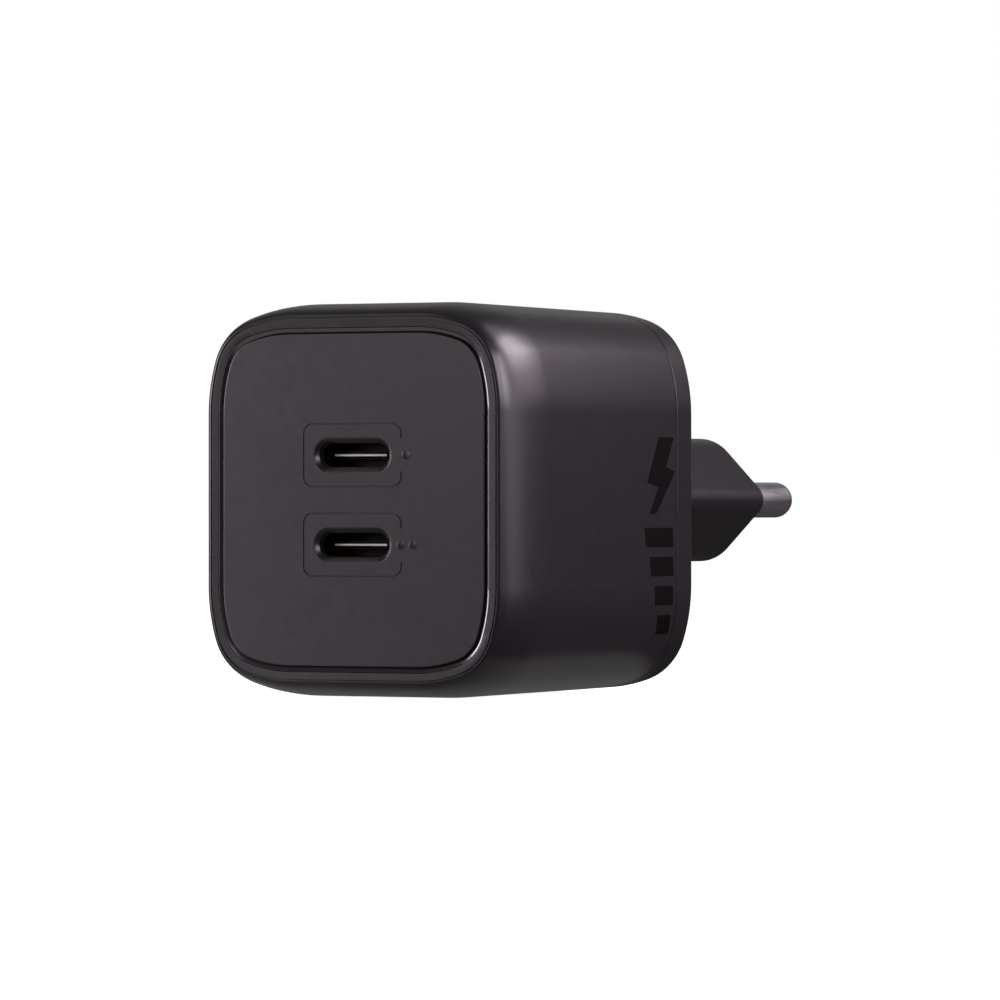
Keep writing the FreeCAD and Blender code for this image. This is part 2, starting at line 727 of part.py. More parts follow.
def make_contact(side, sign):
    """Strip riveted on a pin's stub, run forwards and bent up to the input board."""
    body = new_body(f"pin_contact_{side}", depth="shell_depth + neck_length", x=f"{sign}pin_pitch / 2")
    grip = "-(pin_boss_length + neck_end_wall)"
    front = "(board_start_depth + board_length - shell_depth - neck_length - strip_thickness)"
    side_view = new_sketch(body, "side_view", plane="YZ_Plane")
    polygon(side_view, [(f"{grip}", "-strip_rise"), (f"{grip}", "strip_rise"),
                        (f"{front} + strip_thickness", "strip_rise"),
                        (f"{front} + strip_thickness", "board_level"), (f"{front}", "board_level"),
                        (f"{front}", "strip_rise - strip_thickness"),
                        (f"{grip} - strip_thickness", "strip_rise - strip_thickness"),
                        (f"{grip} - strip_thickness", "-strip_rise")])
    strip = body.newObject("PartDesign::Pad", f"{body.Name}_strip")
    strip.Profile = side_view
    strip.SideType = "Symmetric"
    bind(strip, "Length", "strip_width")
    doc.recompute()
    hole = new_sketch(body, "hole", ahead=f"-({grip}) + strip_thickness")
    circle(hole, "shank_radius")
    pocket(body, "hole", hole, "strip_thickness")
    return body


# ---------------------------------------------------------------- receptacles

def make_usb_shell(level, sign):
    """Drawn steel shell of one receptacle."""
    depth = "port_lip"
    body = new_body(f"usb_shell_{level}", depth=depth, z=f"{sign}port_spacing / 2")
    tube = new_sketch(body, "tube")
    slot(tube, "receptacle_width", "receptacle_height")
    slot(tube, "receptacle_width - 2 * receptacle_wall", "receptacle_height - 2 * receptacle_wall")
    pad(body, "tube", tube, "receptacle_length", backwards=True)
    return body


def make_usb_tongue(level, sign):
    """Moulded tongue on a block that closes the back of the shell; its nose is tapered."""
    body = new_body(f"usb_tongue_{level}", depth="port_lip + receptacle_length", z=f"{sign}port_spacing / 2")
    block = new_sketch(body, "block")
    slot(block, "receptacle_width - 2 * receptacle_wall", "receptacle_height - 2 * receptacle_wall")
    pad(body, "block", block, "tongue_base_length")
    blade = new_sketch(body, "blade")
    rectangle(blade, "tongue_width / 2", "tongue_thickness / 2")
    shoulder = "receptacle_length - tongue_setback - tongue_nose_length"
    pad(body, "blade", blade, shoulder)
    thick = new_sketch(body, "nose_root", ahead=shoulder)
    rectangle(thick, "tongue_width / 2", "tongue_thickness / 2")
    thin = new_sketch(body, "nose_tip", ahead=f"{shoulder} + tongue_nose_length")
    rectangle(thin, "tongue_width / 2", "tongue_nose_thickness / 2")
    loft(body, "nose", [thick, thin], ruled=True)
    return body


def make_usb_contacts(level, sign):
    """Twelve contact strips on each face of a tongue."""
    strips = []
    front = f"{FRONT} + port_lip + tongue_setback + tongue_nose_length"
    for face, lift in (("top", "tongue_thickness / 2"), ("bottom", "-tongue_thickness / 2 - contact_thickness")):
        for number in range(12):
            x = f"({number} - 5.5) * contact_pitch - contact_width / 2"
            strips.append(box(f"usb_{level}_{face}_strip_{number}",
                              ("contact_width", "contact_length", "contact_thickness"),
                              (x, front, f"{sign}port_spacing / 2 + {lift}")))
    return group(f"usb_contacts_{level}", *strips)


# ---------------------------------------------------------------- boards

def make_board(label, bottom):
    """Flat board with rounded corners between the receptacle board and the rear cover."""
    plain = box(f"{label}_blank", ("2 * board_half_width", "board_length", "board_thickness"),
                ("-board_half_width", f"{FRONT} + board_start_depth", bottom))
    return round_edges(label, plain, "board_corner_radius", lambda edge: along(edge, (0, 0, 1)))


def make_output_board():
    """Upright board that carries both receptacles."""
    body = new_body("output_board", depth="port_lip + receptacle_length")
    outline = new_sketch(body, "outline")
    rounded_rectangle(outline, "2 * output_board_half_width", "2 * output_board_half_height",
                      "board_corner_radius")
    pad(body, "board", outline, "output_board_thickness", backwards=True)
    return body


# ---------------------------------------------------------------- transformer

CORE_BOTTOM = "(-board_level + core_lift)"
TRANSFORMER_Y = f"({FRONT} + transformer_depth)"


def make_core_half(label, bottom, yoke_bottom):
    """E-shaped half: a yoke, two outer legs and the middle post."""
    half_height = "core_height / 2"
    y = f"{TRANSFORMER_Y} - core_breadth / 2"
    parts = [box(f"{label}_yoke", ("core_width", "core_breadth", "core_yoke"),
                 ("transformer_x - core_width / 2", y, yoke_bottom))]
    feet = (("left_leg", "core_leg", "-core_width / 2"), ("post", "core_post", "-core_post / 2"),
            ("right_leg", "core_leg", "core_width / 2 - core_leg"))
    for name, width, offset in feet:
        parts.append(box(f"{label}_{name}", (width, "core_breadth", half_height),
                         (f"transformer_x + {offset}", y, bottom)))
    return fuse(label, *parts)


def centred_box(name, half_x, half_y, height, bottom):
    """Box centred on the transformer's axis."""
    return box(name, (f"2 * ({half_x})", f"2 * ({half_y})", height),
               (f"transformer_x - ({half_x})", f"{TRANSFORMER_Y} - ({half_y})", bottom))


def make_bobbin():
    """Bobbin: a square tube round the post, two flanges, and two rails that stand on the board."""
    post_x = "core_post / 2 + bobbin_clearance"
    post_y = "core_breadth / 2 + bobbin_clearance"
    bottom = f"({CORE_BOTTOM} + core_yoke + bobbin_clearance)"
    height = "(core_height - 2 * core_yoke - 2 * bobbin_clearance)"
    flange_x = "core_width / 2 - core_leg - bobbin_clearance"
    flange_y = f"{post_y} + bobbin_wall + winding_thickness + bobbin_wall"
    tube = centred_box("bobbin_tube", f"{post_x} + bobbin_wall", f"{post_y} + bobbin_wall", height, bottom)
    low = centred_box("bobbin_low_flange", flange_x, flange_y, "bobbin_flange", bottom)
    high = centred_box("bobbin_high_flange", flange_x, flange_y, "bobbin_flange",
                       f"{bottom} + {height} - bobbin_flange")
    rail_height = f"{bottom} + board_level"
    rails = []
    for side, y in (("front", f"-({flange_y})"), ("back", f"{flange_y} - bobbin_rail")):
        rails.append(box(f"bobbin_{side}_rail", (f"2 * ({flange_x})", "bobbin_rail", rail_height),
                         (f"transformer_x - ({flange_x})", f"{TRANSFORMER_Y} + {y}", "-board_level")))
    solid = fuse("bobbin_solid", tube, low, high, *rails)
    hole = centred_box("bobbin_hole", post_x, post_y, height, bottom)
    return cut("transformer_bobbin", solid, hole)


def make_winding():
    """Copper winding with rounded corners that fills the bobbin."""
    inner_x = "core_post / 2 + bobbin_clearance + bobbin_wall"
    inner_y = "core_breadth / 2 + bobbin_clearance + bobbin_wall"
    bottom = f"({CORE_BOTTOM} + core_yoke + bobbin_clearance + bobbin_flange)"
    height = "(core_height - 2 * core_yoke - 2 * bobbin_clearance - 2 * bobbin_flange)"
    outside = centred_box("winding_outside", f"{inner_x} + winding_thickness",
                          f"{inner_y} + winding_thickness", height, bottom)
    rounded = round_edges("winding_rounded", outside, "winding_corner", lambda edge: along(edge, (0, 0, 1)))
    inside = centred_box("winding_inside", inner_x, inner_y, height, bottom)
    return cut("transformer_winding", rounded, inside)


# ---------------------------------------------------------------- other electrical parts

def make_bulk_capacitor(position, depth):
    """Can with a rolled groove near its foot and a rounded top edge."""
    body = doc.addObject("PartDesign::Body", f"bulk_capacitor_{position}")
    body.Label = body.Name
    place(body, "bulk_x", f"{FRONT} + {depth}", "-board_level")
    profile = new_sketch(body, "profile", plane="XZ_Plane")
    groove_low, groove_high = "2 * bulk_edge", "3 * bulk_edge"
    polygon(profile, [("0", "0"), ("bulk_radius", "0"), ("bulk_radius", groove_low),
                      ("bulk_radius - bulk_groove", f"({groove_low} + {groove_high}) / 2"),
                      ("bulk_radius", groove_high), ("bulk_radius", "bulk_height - bulk_edge"),
                      ("bulk_radius - bulk_edge", "bulk_height"), ("0", "bulk_height")])
    can = body.newObject("PartDesign::Revolution", f"{body.Name}_can")
    can.Profile = profile
    can.ReferenceAxis = (profile, ["V_Axis"])
    can.Angle = 360
    doc.recompute()
    return body


def choke_cylinder(name, radius, height, bottom):
    return cylinder(name, radius, height, ("choke_x", f"{FRONT} + choke_depth", bottom))


def make_choke_core():
    """Ferrite ring, lying flat."""
    bottom = "choke_level - choke_thickness / 2"
    ring = choke_cylinder("choke_ring", "choke_radius", "choke_thickness", bottom)
    bore = choke_cylinder("choke_ring_bore", "choke_bore", "choke_thickness", bottom)
    return cut("choke_core", ring, bore)


def make_choke_windings():
    """Two windings, each wrapped round its own side of the ring."""
    bottom = "choke_level - choke_thickness / 2"
    windings = []
    for number in range(2):
        outside = choke_cylinder(f"choke_wire_{number}", "choke_radius + choke_wire",
                                 "choke_thickness + 2 * choke_wire", f"{bottom} - choke_wire")
        bind(outside, "Angle", "choke_sector")
        turn = FreeCAD.Rotation(FreeCAD.Vector(0, 0, 1), 180.0 * number - value("choke_sector") / 2)
        outside.Placement.Rotation = turn
        bore = choke_cylinder(f"choke_wire_bore_{number}", "choke_bore - choke_wire",
                              "choke_thickness + 2 * choke_wire", f"{bottom} - choke_wire")
        ring = choke_cylinder(f"choke_wire_ring_{number}", "choke_radius", "choke_thickness", bottom)
        ring_bore = choke_cylinder(f"choke_wire_ring_bore_{number}", "choke_bore", "choke_thickness", bottom)
        core = cut(f"choke_wire_core_{number}", ring, ring_bore)
        shell = cut(f"choke_wire_shell_{number}", outside, bore)
        windings.append(cut(f"choke_winding_{number}", shell, core))
    return group("choke_windings", *windings)


def soft_block(label, size, corner, radius):
    """Moulded block with all its edges rounded."""
    return round_edges(label, box(f"{label}_blank", size, corner), radius, lambda edge: True)


def hanging_block(label, name, x, depth, height, radius):
    """Rounded block under the input board, centred at x and a depth behind the front."""
    length, breadth = f"{name}_length", f"{name}_breadth"
    return soft_block(label, (length, breadth, height),
                      (f"{x} - {length} / 2", f"{FRONT} + {depth} - {breadth} / 2",
                       f"board_level - {height}"), radius)


def make_disc(label, x, depth):
    """Coated disc on edge under the input board, with two lead stubs."""
    y = f"{FRONT} + {depth}"
    level = "(board_level - disc_radius - disc_lead)"
    plain = cylinder(f"{label}_plain", "disc_radius", "disc_thickness",
                     (x, f"{y} - disc_thickness / 2", level), axis="y")
    disc = round_edges(f"{label}_disc", plain, "disc_edge", lambda edge: not along(edge, (0, 1, 0)))
    leads = []
    for number, offset in enumerate(("-disc_radius / 2", "disc_radius / 2 - link_pin")):
        leads.append(box(f"{label}_lead_{number}", ("link_pin", "link_pin", "disc_lead + disc_radius / 2"),
                         (f"{x} + {offset}", f"{y} - link_pin / 2", "board_level - disc_lead - disc_radius / 2")))
    return fuse(label, disc, *leads)


def make_fuse():
    """Tube fuse lying under the input board, with a cap on each end."""
    y = f"{FRONT} + input_disc_depth"
    level = "(board_level - fuse_radius - chip_edge)"
    tube = cylinder("fuse_tube", "fuse_radius - chip_edge", "fuse_length", ("fuse_x", y, level), axis="x")
    caps = []
    for number, x in enumerate(("fuse_x", "fuse_x + fuse_length - fuse_cap")):
        caps.append(cylinder(f"fuse_cap_{number}", "fuse_radius", "fuse_cap", (x, y, level), axis="x"))
    return fuse("input_fuse", tube, *caps)


def chip_under(label, length, breadth, height, x, depth):
    """Chip on the underside of the main board."""
    return soft_block(label, (length, breadth, height),
                      (f"{x} - {length} / 2", f"{FRONT} + {depth} - {breadth} / 2",
                       f"-board_level - board_thickness - {height}"), "chip_edge")


def make_cooling():
    """Plate on the housing floor, and a soft pad between it and the switch."""
    pad_top = "(-board_level - board_thickness - switch_height)"
    size = "(switch_size + 2 * pad_margin)"
    thermal_pad = box("thermal_pad", (size, size, "pad_thickness"),
                      (f"switch_x - {size} / 2", f"{FRONT} + switch_depth - {size} / 2",
                       f"{pad_top} - pad_thickness"))
    spreader = box("spreader_blank", ("2 * spreader_half_width", "spreader_length", "spreader_thickness"),
                   ("-spreader_half_width", f"{FRONT} + board_start_depth + board_thickness",
                    f"{pad_top} - pad_thickness - spreader_thickness"))
    plate = round_edges("heat_spreader", spreader, "board_corner_radius", lambda edge: along(edge, (0, 0, 1)))
    return [thermal_pad, plate]


def make_insulation_film():
    """Sheet between the input board and the housing's roof."""
    sheet = box("film_blank", ("2 * film_half_width", "board_length", "film_thickness"),
                ("-film_half_width", f"{FRONT} + board_start_depth",
                 "board_level + board_thickness + film_thickness"))
    return round_edges("insulation_film", sheet, "board_corner_radius", lambda edge: along(edge, (0, 0, 1)))


def front_block(name, width, height, tall, x, z):
    """Rounded block on the front of the output board, centred at x and z."""
    back = f"({FRONT} + port_lip + receptacle_length)"
    return soft_block(name, (width, tall, height), (f"{x} - {width} / 2", f"{back} - {tall}",
                                                    f"{z} - {height} / 2"), "chip_edge")


def make_front_parts():
    """Buck inductors, port controllers and output capacitors, one beside each receptacle."""
    inductors, controllers, capacitors = [], [], []
    for level, sign in (("upper", ""), ("lower", "-")):
        inductors.append(front_block(f"buck_inductor_{level}", "inductor_size", "inductor_size",
                                     "inductor_height", "inductor_x", f"{sign}inductor_level"))
        controllers.append(front_block(f"port_controller_{level}", "controller_size", "controller_size",
                                       "switch_height", "-controller_x", f"{sign}controller_level"))
        for side, hand in (("left", "-"), ("right", "")):
            capacitors.append(front_block(f"output_capacitor_{level}_{side}", "output_capacitor_width",
                                          "output_capacitor_width", "output_capacitor_height",
                                          f"{hand}output_capacitor_x - inductor_height / 2",
                                          f"{sign}output_capacitor_level"))
    return inductors + [group("port_controllers", *controllers), group("output_capacitors", *capacitors)]


def make_links():
    """Square pins from the main board up to the input board, and forward to the output board."""
    uprights, forwards = [], []
    for number in range(3):
        uprights.append(box(f"input_link_{number}", ("link_pin", "link_pin", "2 * board_level"),
                            ("input_link_x", f"{FRONT} + input_link_depth + {number} * link_pitch",
                             "-board_level")))
        forwards.append(box(f"output_link_{number}", ("link_pin", "output_link_reach", "link_pin"),
                            (f"output_link_x - {number} * link_pitch",
                             f"{FRONT} + port_lip + receptacle_length + output_board_thickness",
                             "-board_level")))
    return [group("input_link_pins", *uprights), group("output_link_pins", *forwards)]


def make_input_parts():
    """Parts under the input board."""
    return [
        hanging_block("x_capacitor", "film_capacitor", "film_capacitor_x", "film_capacitor_depth",
                      "film_capacitor_height", "film_capacitor_corner"),
        hanging_block("bridge_rectifier", "bridge", "bridge_x", "bridge_depth", "bridge_height", "chip_edge"),
        make_disc("varistor", "varistor_x", "input_disc_depth"),
        make_disc("thermistor", "thermistor_x", "input_disc_depth"),
        make_disc("y_capacitor", "safety_capacitor_x", "safety_capacitor_depth"),
        make_fuse(),
    ]


def make_chips():
    """Surface-mounted parts under the main board."""
    return [
        chip_under("power_switch", "switch_size", "switch_size", "switch_height", "switch_x", "switch_depth"),
        chip_under("sync_rectifier", "rectifier_length", "rectifier_breadth", "switch_height",
                   "rectifier_x", "rectifier_depth"),
        chip_under("optocoupler", "optocoupler_length", "optocoupler_breadth", "optocoupler_height",
                   "optocoupler_x", "optocoupler_depth"),
    ]


def main():
    nodes = [make_main_housing(), make_front_trim_ring(), make_front_plate(), make_rear_cover()]
    for side, sign in (("left", "-"), ("right", "")):
        nodes += [make_pin(side, sign), make_sleeve(side, sign), make_contact(side, sign)]
    for level, sign in (("upper", ""), ("lower", "-")):
        nodes += [make_usb_shell(level, sign), make_usb_tongue(level, sign), make_usb_contacts(level, sign)]
    nodes += [make_output_board(), make_board("main_board", "-board_level - board_thickness"),
              make_board("input_board", "board_level")]
    middle = f"{CORE_BOTTOM} + core_height / 2"
    nodes += [make_core_half("transformer_core_lower", CORE_BOTTOM, CORE_BOTTOM),
              make_core_half("transformer_core_upper", middle, f"{middle} + core_height / 2 - core_yoke"),
              make_bobbin(), make_winding()]
    nodes += [make_bulk_capacitor("front", "bulk_front_depth"),
              make_bulk_capacitor("rear", "bulk_rear_depth")]
    nodes += [make_choke_core(), make_choke_windings()]
    nodes += make_input_parts() + make_chips() + make_cooling() + [make_insulation_film()]
    nodes += make_front_parts() + make_links()

    doc.recompute()
    for item in doc.Objects:
        if "Invalid" in item.State or "Error" in item.State:
            raise RuntimeError(f"{item.Name} did not build: {item.State}")
    for node in nodes:
        if node.Shape.isNull() or not node.Shape.isValid():
            raise RuntimeError(f"{node.Label} has no valid shape")
    os.makedirs("parts", exist_ok=True)
    for node in nodes:
        node.Shape.exportStep(f"parts/{node.Label}.step")
        print(node.Label, len(node.Shape.Solids), round(node.Shape.Volume, 2))


main()
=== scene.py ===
import json
import math

import bpy
import bmesh
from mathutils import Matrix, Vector
from mathutils.geometry import tessellate_polygon


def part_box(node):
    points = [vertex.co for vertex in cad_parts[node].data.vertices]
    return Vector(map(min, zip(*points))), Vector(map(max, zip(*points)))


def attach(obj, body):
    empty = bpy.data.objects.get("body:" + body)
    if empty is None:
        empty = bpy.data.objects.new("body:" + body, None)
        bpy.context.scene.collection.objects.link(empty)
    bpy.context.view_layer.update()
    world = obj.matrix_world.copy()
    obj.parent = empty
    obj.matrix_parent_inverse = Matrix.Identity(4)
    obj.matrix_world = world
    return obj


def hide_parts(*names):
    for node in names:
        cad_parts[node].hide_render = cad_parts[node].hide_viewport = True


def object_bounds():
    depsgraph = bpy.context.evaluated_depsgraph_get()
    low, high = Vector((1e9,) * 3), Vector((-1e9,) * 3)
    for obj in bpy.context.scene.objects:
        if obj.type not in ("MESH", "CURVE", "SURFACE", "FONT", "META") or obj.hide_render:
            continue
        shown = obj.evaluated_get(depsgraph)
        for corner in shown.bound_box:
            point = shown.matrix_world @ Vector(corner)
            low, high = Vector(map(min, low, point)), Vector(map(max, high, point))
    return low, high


# Looks of the USB wall charger.  Shapes are worked out in millimetres in the CAD model's frame:
# origin on the plug's engagement face, +Y along the pins, receptacles opening towards -Y, +Z up.
# A "depth" runs back from the front face, and an "inset" inwards from the widest outline.

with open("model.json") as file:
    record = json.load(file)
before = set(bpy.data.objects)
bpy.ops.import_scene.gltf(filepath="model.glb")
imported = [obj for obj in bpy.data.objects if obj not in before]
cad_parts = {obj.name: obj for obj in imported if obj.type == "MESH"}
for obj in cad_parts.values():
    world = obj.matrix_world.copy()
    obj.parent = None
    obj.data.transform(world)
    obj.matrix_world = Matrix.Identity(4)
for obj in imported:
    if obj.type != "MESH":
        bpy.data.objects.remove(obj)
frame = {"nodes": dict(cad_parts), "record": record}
cad_low, cad_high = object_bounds()

MM = 0.001
housing_low, housing_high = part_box("main_housing")
ring_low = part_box("front_trim_ring")[0]
plate_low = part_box("front_plate")[0]
FRONT = housing_low.y / MM
HALF_WIDTH = housing_high.x / MM
HALF_HEIGHT = housing_high.z / MM
SEAM_DEPTH = housing_high.y / MM - FRONT
RING_INSET = HALF_WIDTH + ring_low.x / MM
RECESS_INSET = RING_INSET - 0.04
PLATE_INSET = HALF_WIDTH + plate_low.x / MM
PORT_LEVELS = [sum(corner.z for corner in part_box(node)) / 2 / MM
               for node in ("usb_shell_upper", "usb_shell_lower")]

CORNER_LENGTH = 11.8
LARGE_RADIUS = HALF_WIDTH
SMALL_RADIUS = 7.35
EDGE_DEPTH = 7.6
EDGE_INSET = 1.75
DRAFT = 0.014
WALL = 2.1
WINDOW_INSET = 4.7
PLATE_THICKNESS = 2.0
SHELF_DEPTH = 3.8
PLATE_FACE = 0.02
SHARP_ANGLE = math.radians(38)


# ---------------------------------------------------------------- outlines and sections

def sweep(centre, radius, start, end, steps):
    """Points on an arc, its end left out."""
    angles = [start + (end - start) * step / steps for step in range(steps)]
    return [(centre[0] + radius * math.cos(a), centre[1] + radius * math.sin(a)) for a in angles]


def soft_outline(inset):
    """The housing's outline moved inwards: straight sides, and corners of three tangent arcs."""
    large, small = LARGE_RADIUS - inset, SMALL_RADIUS - inset
    half = (HALF_WIDTH - inset, HALF_HEIGHT - inset)
    straight = (HALF_WIDTH - CORNER_LENGTH, HALF_HEIGHT - CORNER_LENGTH)
    growth = (CORNER_LENGTH - LARGE_RADIUS) / (LARGE_RADIUS - SMALL_RADIUS)
    turn = math.pi / 4 + math.asin(growth / math.sqrt(2))
    points = []
    for quarter in range(4):
        across, along = quarter % 2, 1 - quarter % 2
        first = (half[across] - large, straight[along])
        middle = (first[0] + (large - small) * math.cos(turn), first[1] + (large - small) * math.sin(turn))
        last = (straight[across], half[along] - large)
        side = [(half[across], straight[along] * part) for part in (-1, -0.5, 0, 0.5)]
        side += sweep(first, large, 0, turn, 7)
        side += sweep(middle, small, turn, math.pi / 2 - turn, 18)
        side += sweep(last, large, math.pi / 2 - turn, math.pi / 2, 7)
        c, s = round(math.cos(quarter * math.pi / 2)), round(math.sin(quarter * math.pi / 2))
        points += [(out * c - up * s, out * s + up * c) for out, up in side]
    return points


def slot_outline(width, height, level):
    """Slot with full round ends."""
    radius, reach = height / 2, (width - height) / 2
    right = sweep((reach, level), radius, -math.pi / 2, math.pi / 2, 20) + [(reach, level + radius)]
    left = sweep((-reach, level), radius, math.pi / 2, math.pi * 3 / 2, 20) + [(-reach, level - radius)]
    return right + left


def open_frame(width, height, radius, gap, level):
    """Path of a rounded rectangle that starts and ends at a gap in its right side."""
    x, z = width / 2 - radius, height / 2 - radius
    path = [(width / 2, level + gap / 2)]
    for number, (cx, cz) in enumerate(((x, z), (-x, z), (-x, -z), (x, -z))):
        start = number * math.pi / 2
        path += sweep((cx, level + cz), radius, start, start + math.pi / 2, 8)
        path.append((cx - radius * math.sin(start), level + cz + radius * math.cos(start)))
    return path + [(width / 2, level - gap / 2)]


def soften(corners, steps=4):
    """Closed section whose corners (a, b, radius) are rounded."""
    result = []
    for number, (a, b, radius) in enumerate(corners):
        corner = Vector((a, b))
        if radius == 0:
            result.append(corner)
            continue
        before = (Vector(corners[number - 1][:2]) - corner).normalized()
        after = (Vector(corners[(number + 1) % len(corners)][:2]) - corner).normalized()
        half_angle = before.angle(after) / 2
        centre = corner + (before + after).normalized() * radius / math.sin(half_angle)
        first = corner + before * radius / math.tan(half_angle) - centre
        last = corner + after * radius / math.tan(half_angle) - centre
        for step in range(steps + 1):
            part = step / steps
            direction = (first * (1 - part) + last * part).normalized()
            result.append(centre + direction * radius)
    return [tuple(point) for point in result]


# ---------------------------------------------------------------- meshes

class Skin:
    """Points and faces of one piece."""

    def __init__(self):
        self.points = []
        self.faces = []

    def path(self, points):
        start = len(self.points)
        self.points += points
        return list(range(start, len(self.points)))

    def ring(self, outline, depth):
        """Outline of (x, z) points at one depth."""
        return self.path([(x, FRONT + depth, z) for x, z in outline])

    def strip(self, first, second):
        """Quads between two open paths of equal length."""
        for a, b, c, d in zip(first, first[1:], second[1:], second):
            self.faces.append((a, b, c, d))

    def bridge(self, first, second):
        """Quads between two closed rings of equal length."""
        self.strip(first + first[:1], second + second[:1])

    def chain(self, rings):
        for first, second in zip(rings, rings[1:]):
            self.bridge(first, second)

    def cap(self, *rings):
        """Flat face in the XZ plane, inside the first ring and outside the others."""
        numbers = [number for ring in rings for number in ring]
        loops = [[Vector((self.points[n][0], self.points[n][2])) for n in ring] for ring in rings]
        for triangle in tessellate_polygon(loops):
            self.faces.append(tuple(numbers[corner] for corner in triangle))


def make_piece(name, skin, material, slot, *nodes):
    """Closed smooth-shaded piece from a skin in millimetres."""
    mesh = bpy.data.meshes.new(name)
    mesh.from_pydata([[part * MM for part in point] for point in skin.points], [], skin.faces)
    return finish_piece(name, mesh, material, slot, *nodes)


def finish_piece(name, mesh, material, slot, *nodes):
    """Weld, check and smooth a mesh, and let it ride in place of CAD nodes."""
    work = bmesh.new()
    work.from_mesh(mesh)
    bmesh.ops.remove_doubles(work, verts=work.verts, dist=1e-7)
    bmesh.ops.recalc_face_normals(work, faces=work.faces)
    assert all(edge.is_manifold for edge in work.edges), f"{name} is not closed"
    work.to_mesh(mesh)
    work.free()
    mesh.shade_smooth()
    mesh.set_sharp_from_angle(angle=SHARP_ANGLE)
    mesh.materials.append(material)
    piece = bpy.data.objects.new(name, mesh)
    bpy.context.scene.collection.objects.link(piece)
    even = piece.modifiers.new("even_shading", "WEIGHTED_NORMAL")
    even.keep_sharp = True
    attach(piece, "root")
    if nodes:
        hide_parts(*nodes)
    return piece


def soft_loop(section):
    """Ring-shaped skin: a closed section (inset, depth) carried round the housing's outline."""
    skin = Skin()
    rings = [skin.ring(soft_outline(inset), depth) for inset, depth in section]
    skin.chain(rings + rings[:1])
    return skin


def lathe(section, x, steps=64):
    """Skin turned about an axis along Y from a section (radius, y) that is closed or ends on the axis."""
    skin = Skin()
    turns = [2 * math.pi * step / steps for step in range(steps)]
    rings = []
    for radius, y in section:
        if radius < 1e-6:
            rings.append(skin.path([(x, y, 0)]) * steps)
        else:
            rings.append(skin.path([(x + radius * math.cos(t), y, radius * math.sin(t)) for t in turns]))
    closed = section[0][0] > 1e-6
    skin.chain(rings + rings[:1] if closed else rings)
    skin.faces = [tuple(dict.fromkeys(face)) for face in skin.faces]
    return skin


# ---------------------------------------------------------------- shell pieces

def taper(depth):
    """How far the sides have closed in at a depth."""
    return DRAFT * (depth - EDGE_DEPTH)


def make_housing(material):
    """Shell with an elliptical front edge, and a flat rim inside a fine groove."""
    groove_inner, groove_depth, lip = EDGE_INSET + 0.16, 0.14, 0.004
    rim_fall, gap = 0.06, 0.14
    section = soften([(WINDOW_INSET, SHELF_DEPTH, 0), (WINDOW_INSET, PLATE_THICKNESS, 0.1),
                      (RECESS_INSET, PLATE_THICKNESS, 0), (RECESS_INSET, rim_fall, 0.03),
                      (groove_inner, 0.0, 0.04), (groove_inner, groove_depth, 0),
                      (EDGE_INSET, groove_depth, 0), (EDGE_INSET, lip, 0.02), (EDGE_INSET - 0.08, lip, 0)])
    steps = 26
    for step in range(1, steps + 1):
        angle = math.pi / 2 * step / steps
        section.append((EDGE_INSET * (1 - math.sin(angle)), EDGE_DEPTH * (1 - math.cos(angle))))
    end = SEAM_DEPTH - gap
    section += [(taper(depth), depth) for depth in (9.0, 15.0, 22.0, 29.0, end - 0.3)]
    section += soften([(taper(end - 0.2), end - 0.2, 0), (taper(end), end, 0.05), (WALL, end, 0),
                       (WALL, SHELF_DEPTH, 0.3), (WINDOW_INSET, SHELF_DEPTH, 0)])[:-1]
    return make_piece("housing_shell", soft_loop(section), material, "housing_plastic", "main_housing")


def make_trim_ring(material):
    """Ring between rim and plate, its face sloping down towards the plate."""
    inner = PLATE_INSET - 0.04
    outer_depth, inner_depth = 0.07, 0.32
    section = soften([(RING_INSET, PLATE_THICKNESS, 0), (RING_INSET, outer_depth, 0.03),
                      (inner, inner_depth, 0.02), (inner, PLATE_THICKNESS, 0)])
    return make_piece("trim_ring", soft_loop(section), material, "trim_plastic", "front_trim_ring")


def add_frame_groove(skin, level):
    """Shallow drawn line round one receptacle, open on the right; gives its mouth as one loop."""
    width, height, radius, gap = 12.4, 6.8, 1.15, 3.5
    line, slope, cut = 0.14, 0.03, 0.1
    edges = []
    for inward, depth in ((0, 0), (slope, cut), (line - slope, cut), (line, 0)):
        path = open_frame(width - 2 * inward, height - 2 * inward, radius - inward, gap, level)
        edges.append(skin.ring(path, PLATE_FACE + depth))
    for first, second in zip(edges, edges[1:]):
        skin.strip(first, second)
    for end in (0, -1):
        skin.faces.append(tuple(edge[end] for edge in edges))
    return edges[0] + edges[-1][::-1]


def add_opening(skin, level):
    """Bevelled receptacle opening with a wider seat behind; gives its front and back rings."""
    width, height, bevel = 8.8, 2.75, 0.42
    seat_width, seat_height, lip = 9.06, 3.28, 0.75
    section = [(bevel + 0.16, 0.0), (bevel + 0.06, 0.0), (bevel + 0.02, 0.012), (bevel - 0.02, 0.045),
               (0.03, bevel - 0.03), (0.008, bevel + 0.01), (0.0, bevel + 0.05)]
    rings = [skin.ring(slot_outline(width + 2 * out, height + 2 * out, level), PLATE_FACE + depth)
             for out, depth in section]
    rings.append(skin.ring(slot_outline(width, height, level), lip))
    seat = slot_outline(seat_width, seat_height, level)
    rings += [skin.ring(seat, depth) for depth in (lip, PLATE_THICKNESS)]
    skin.chain(rings)
    return rings[0], rings[-1]


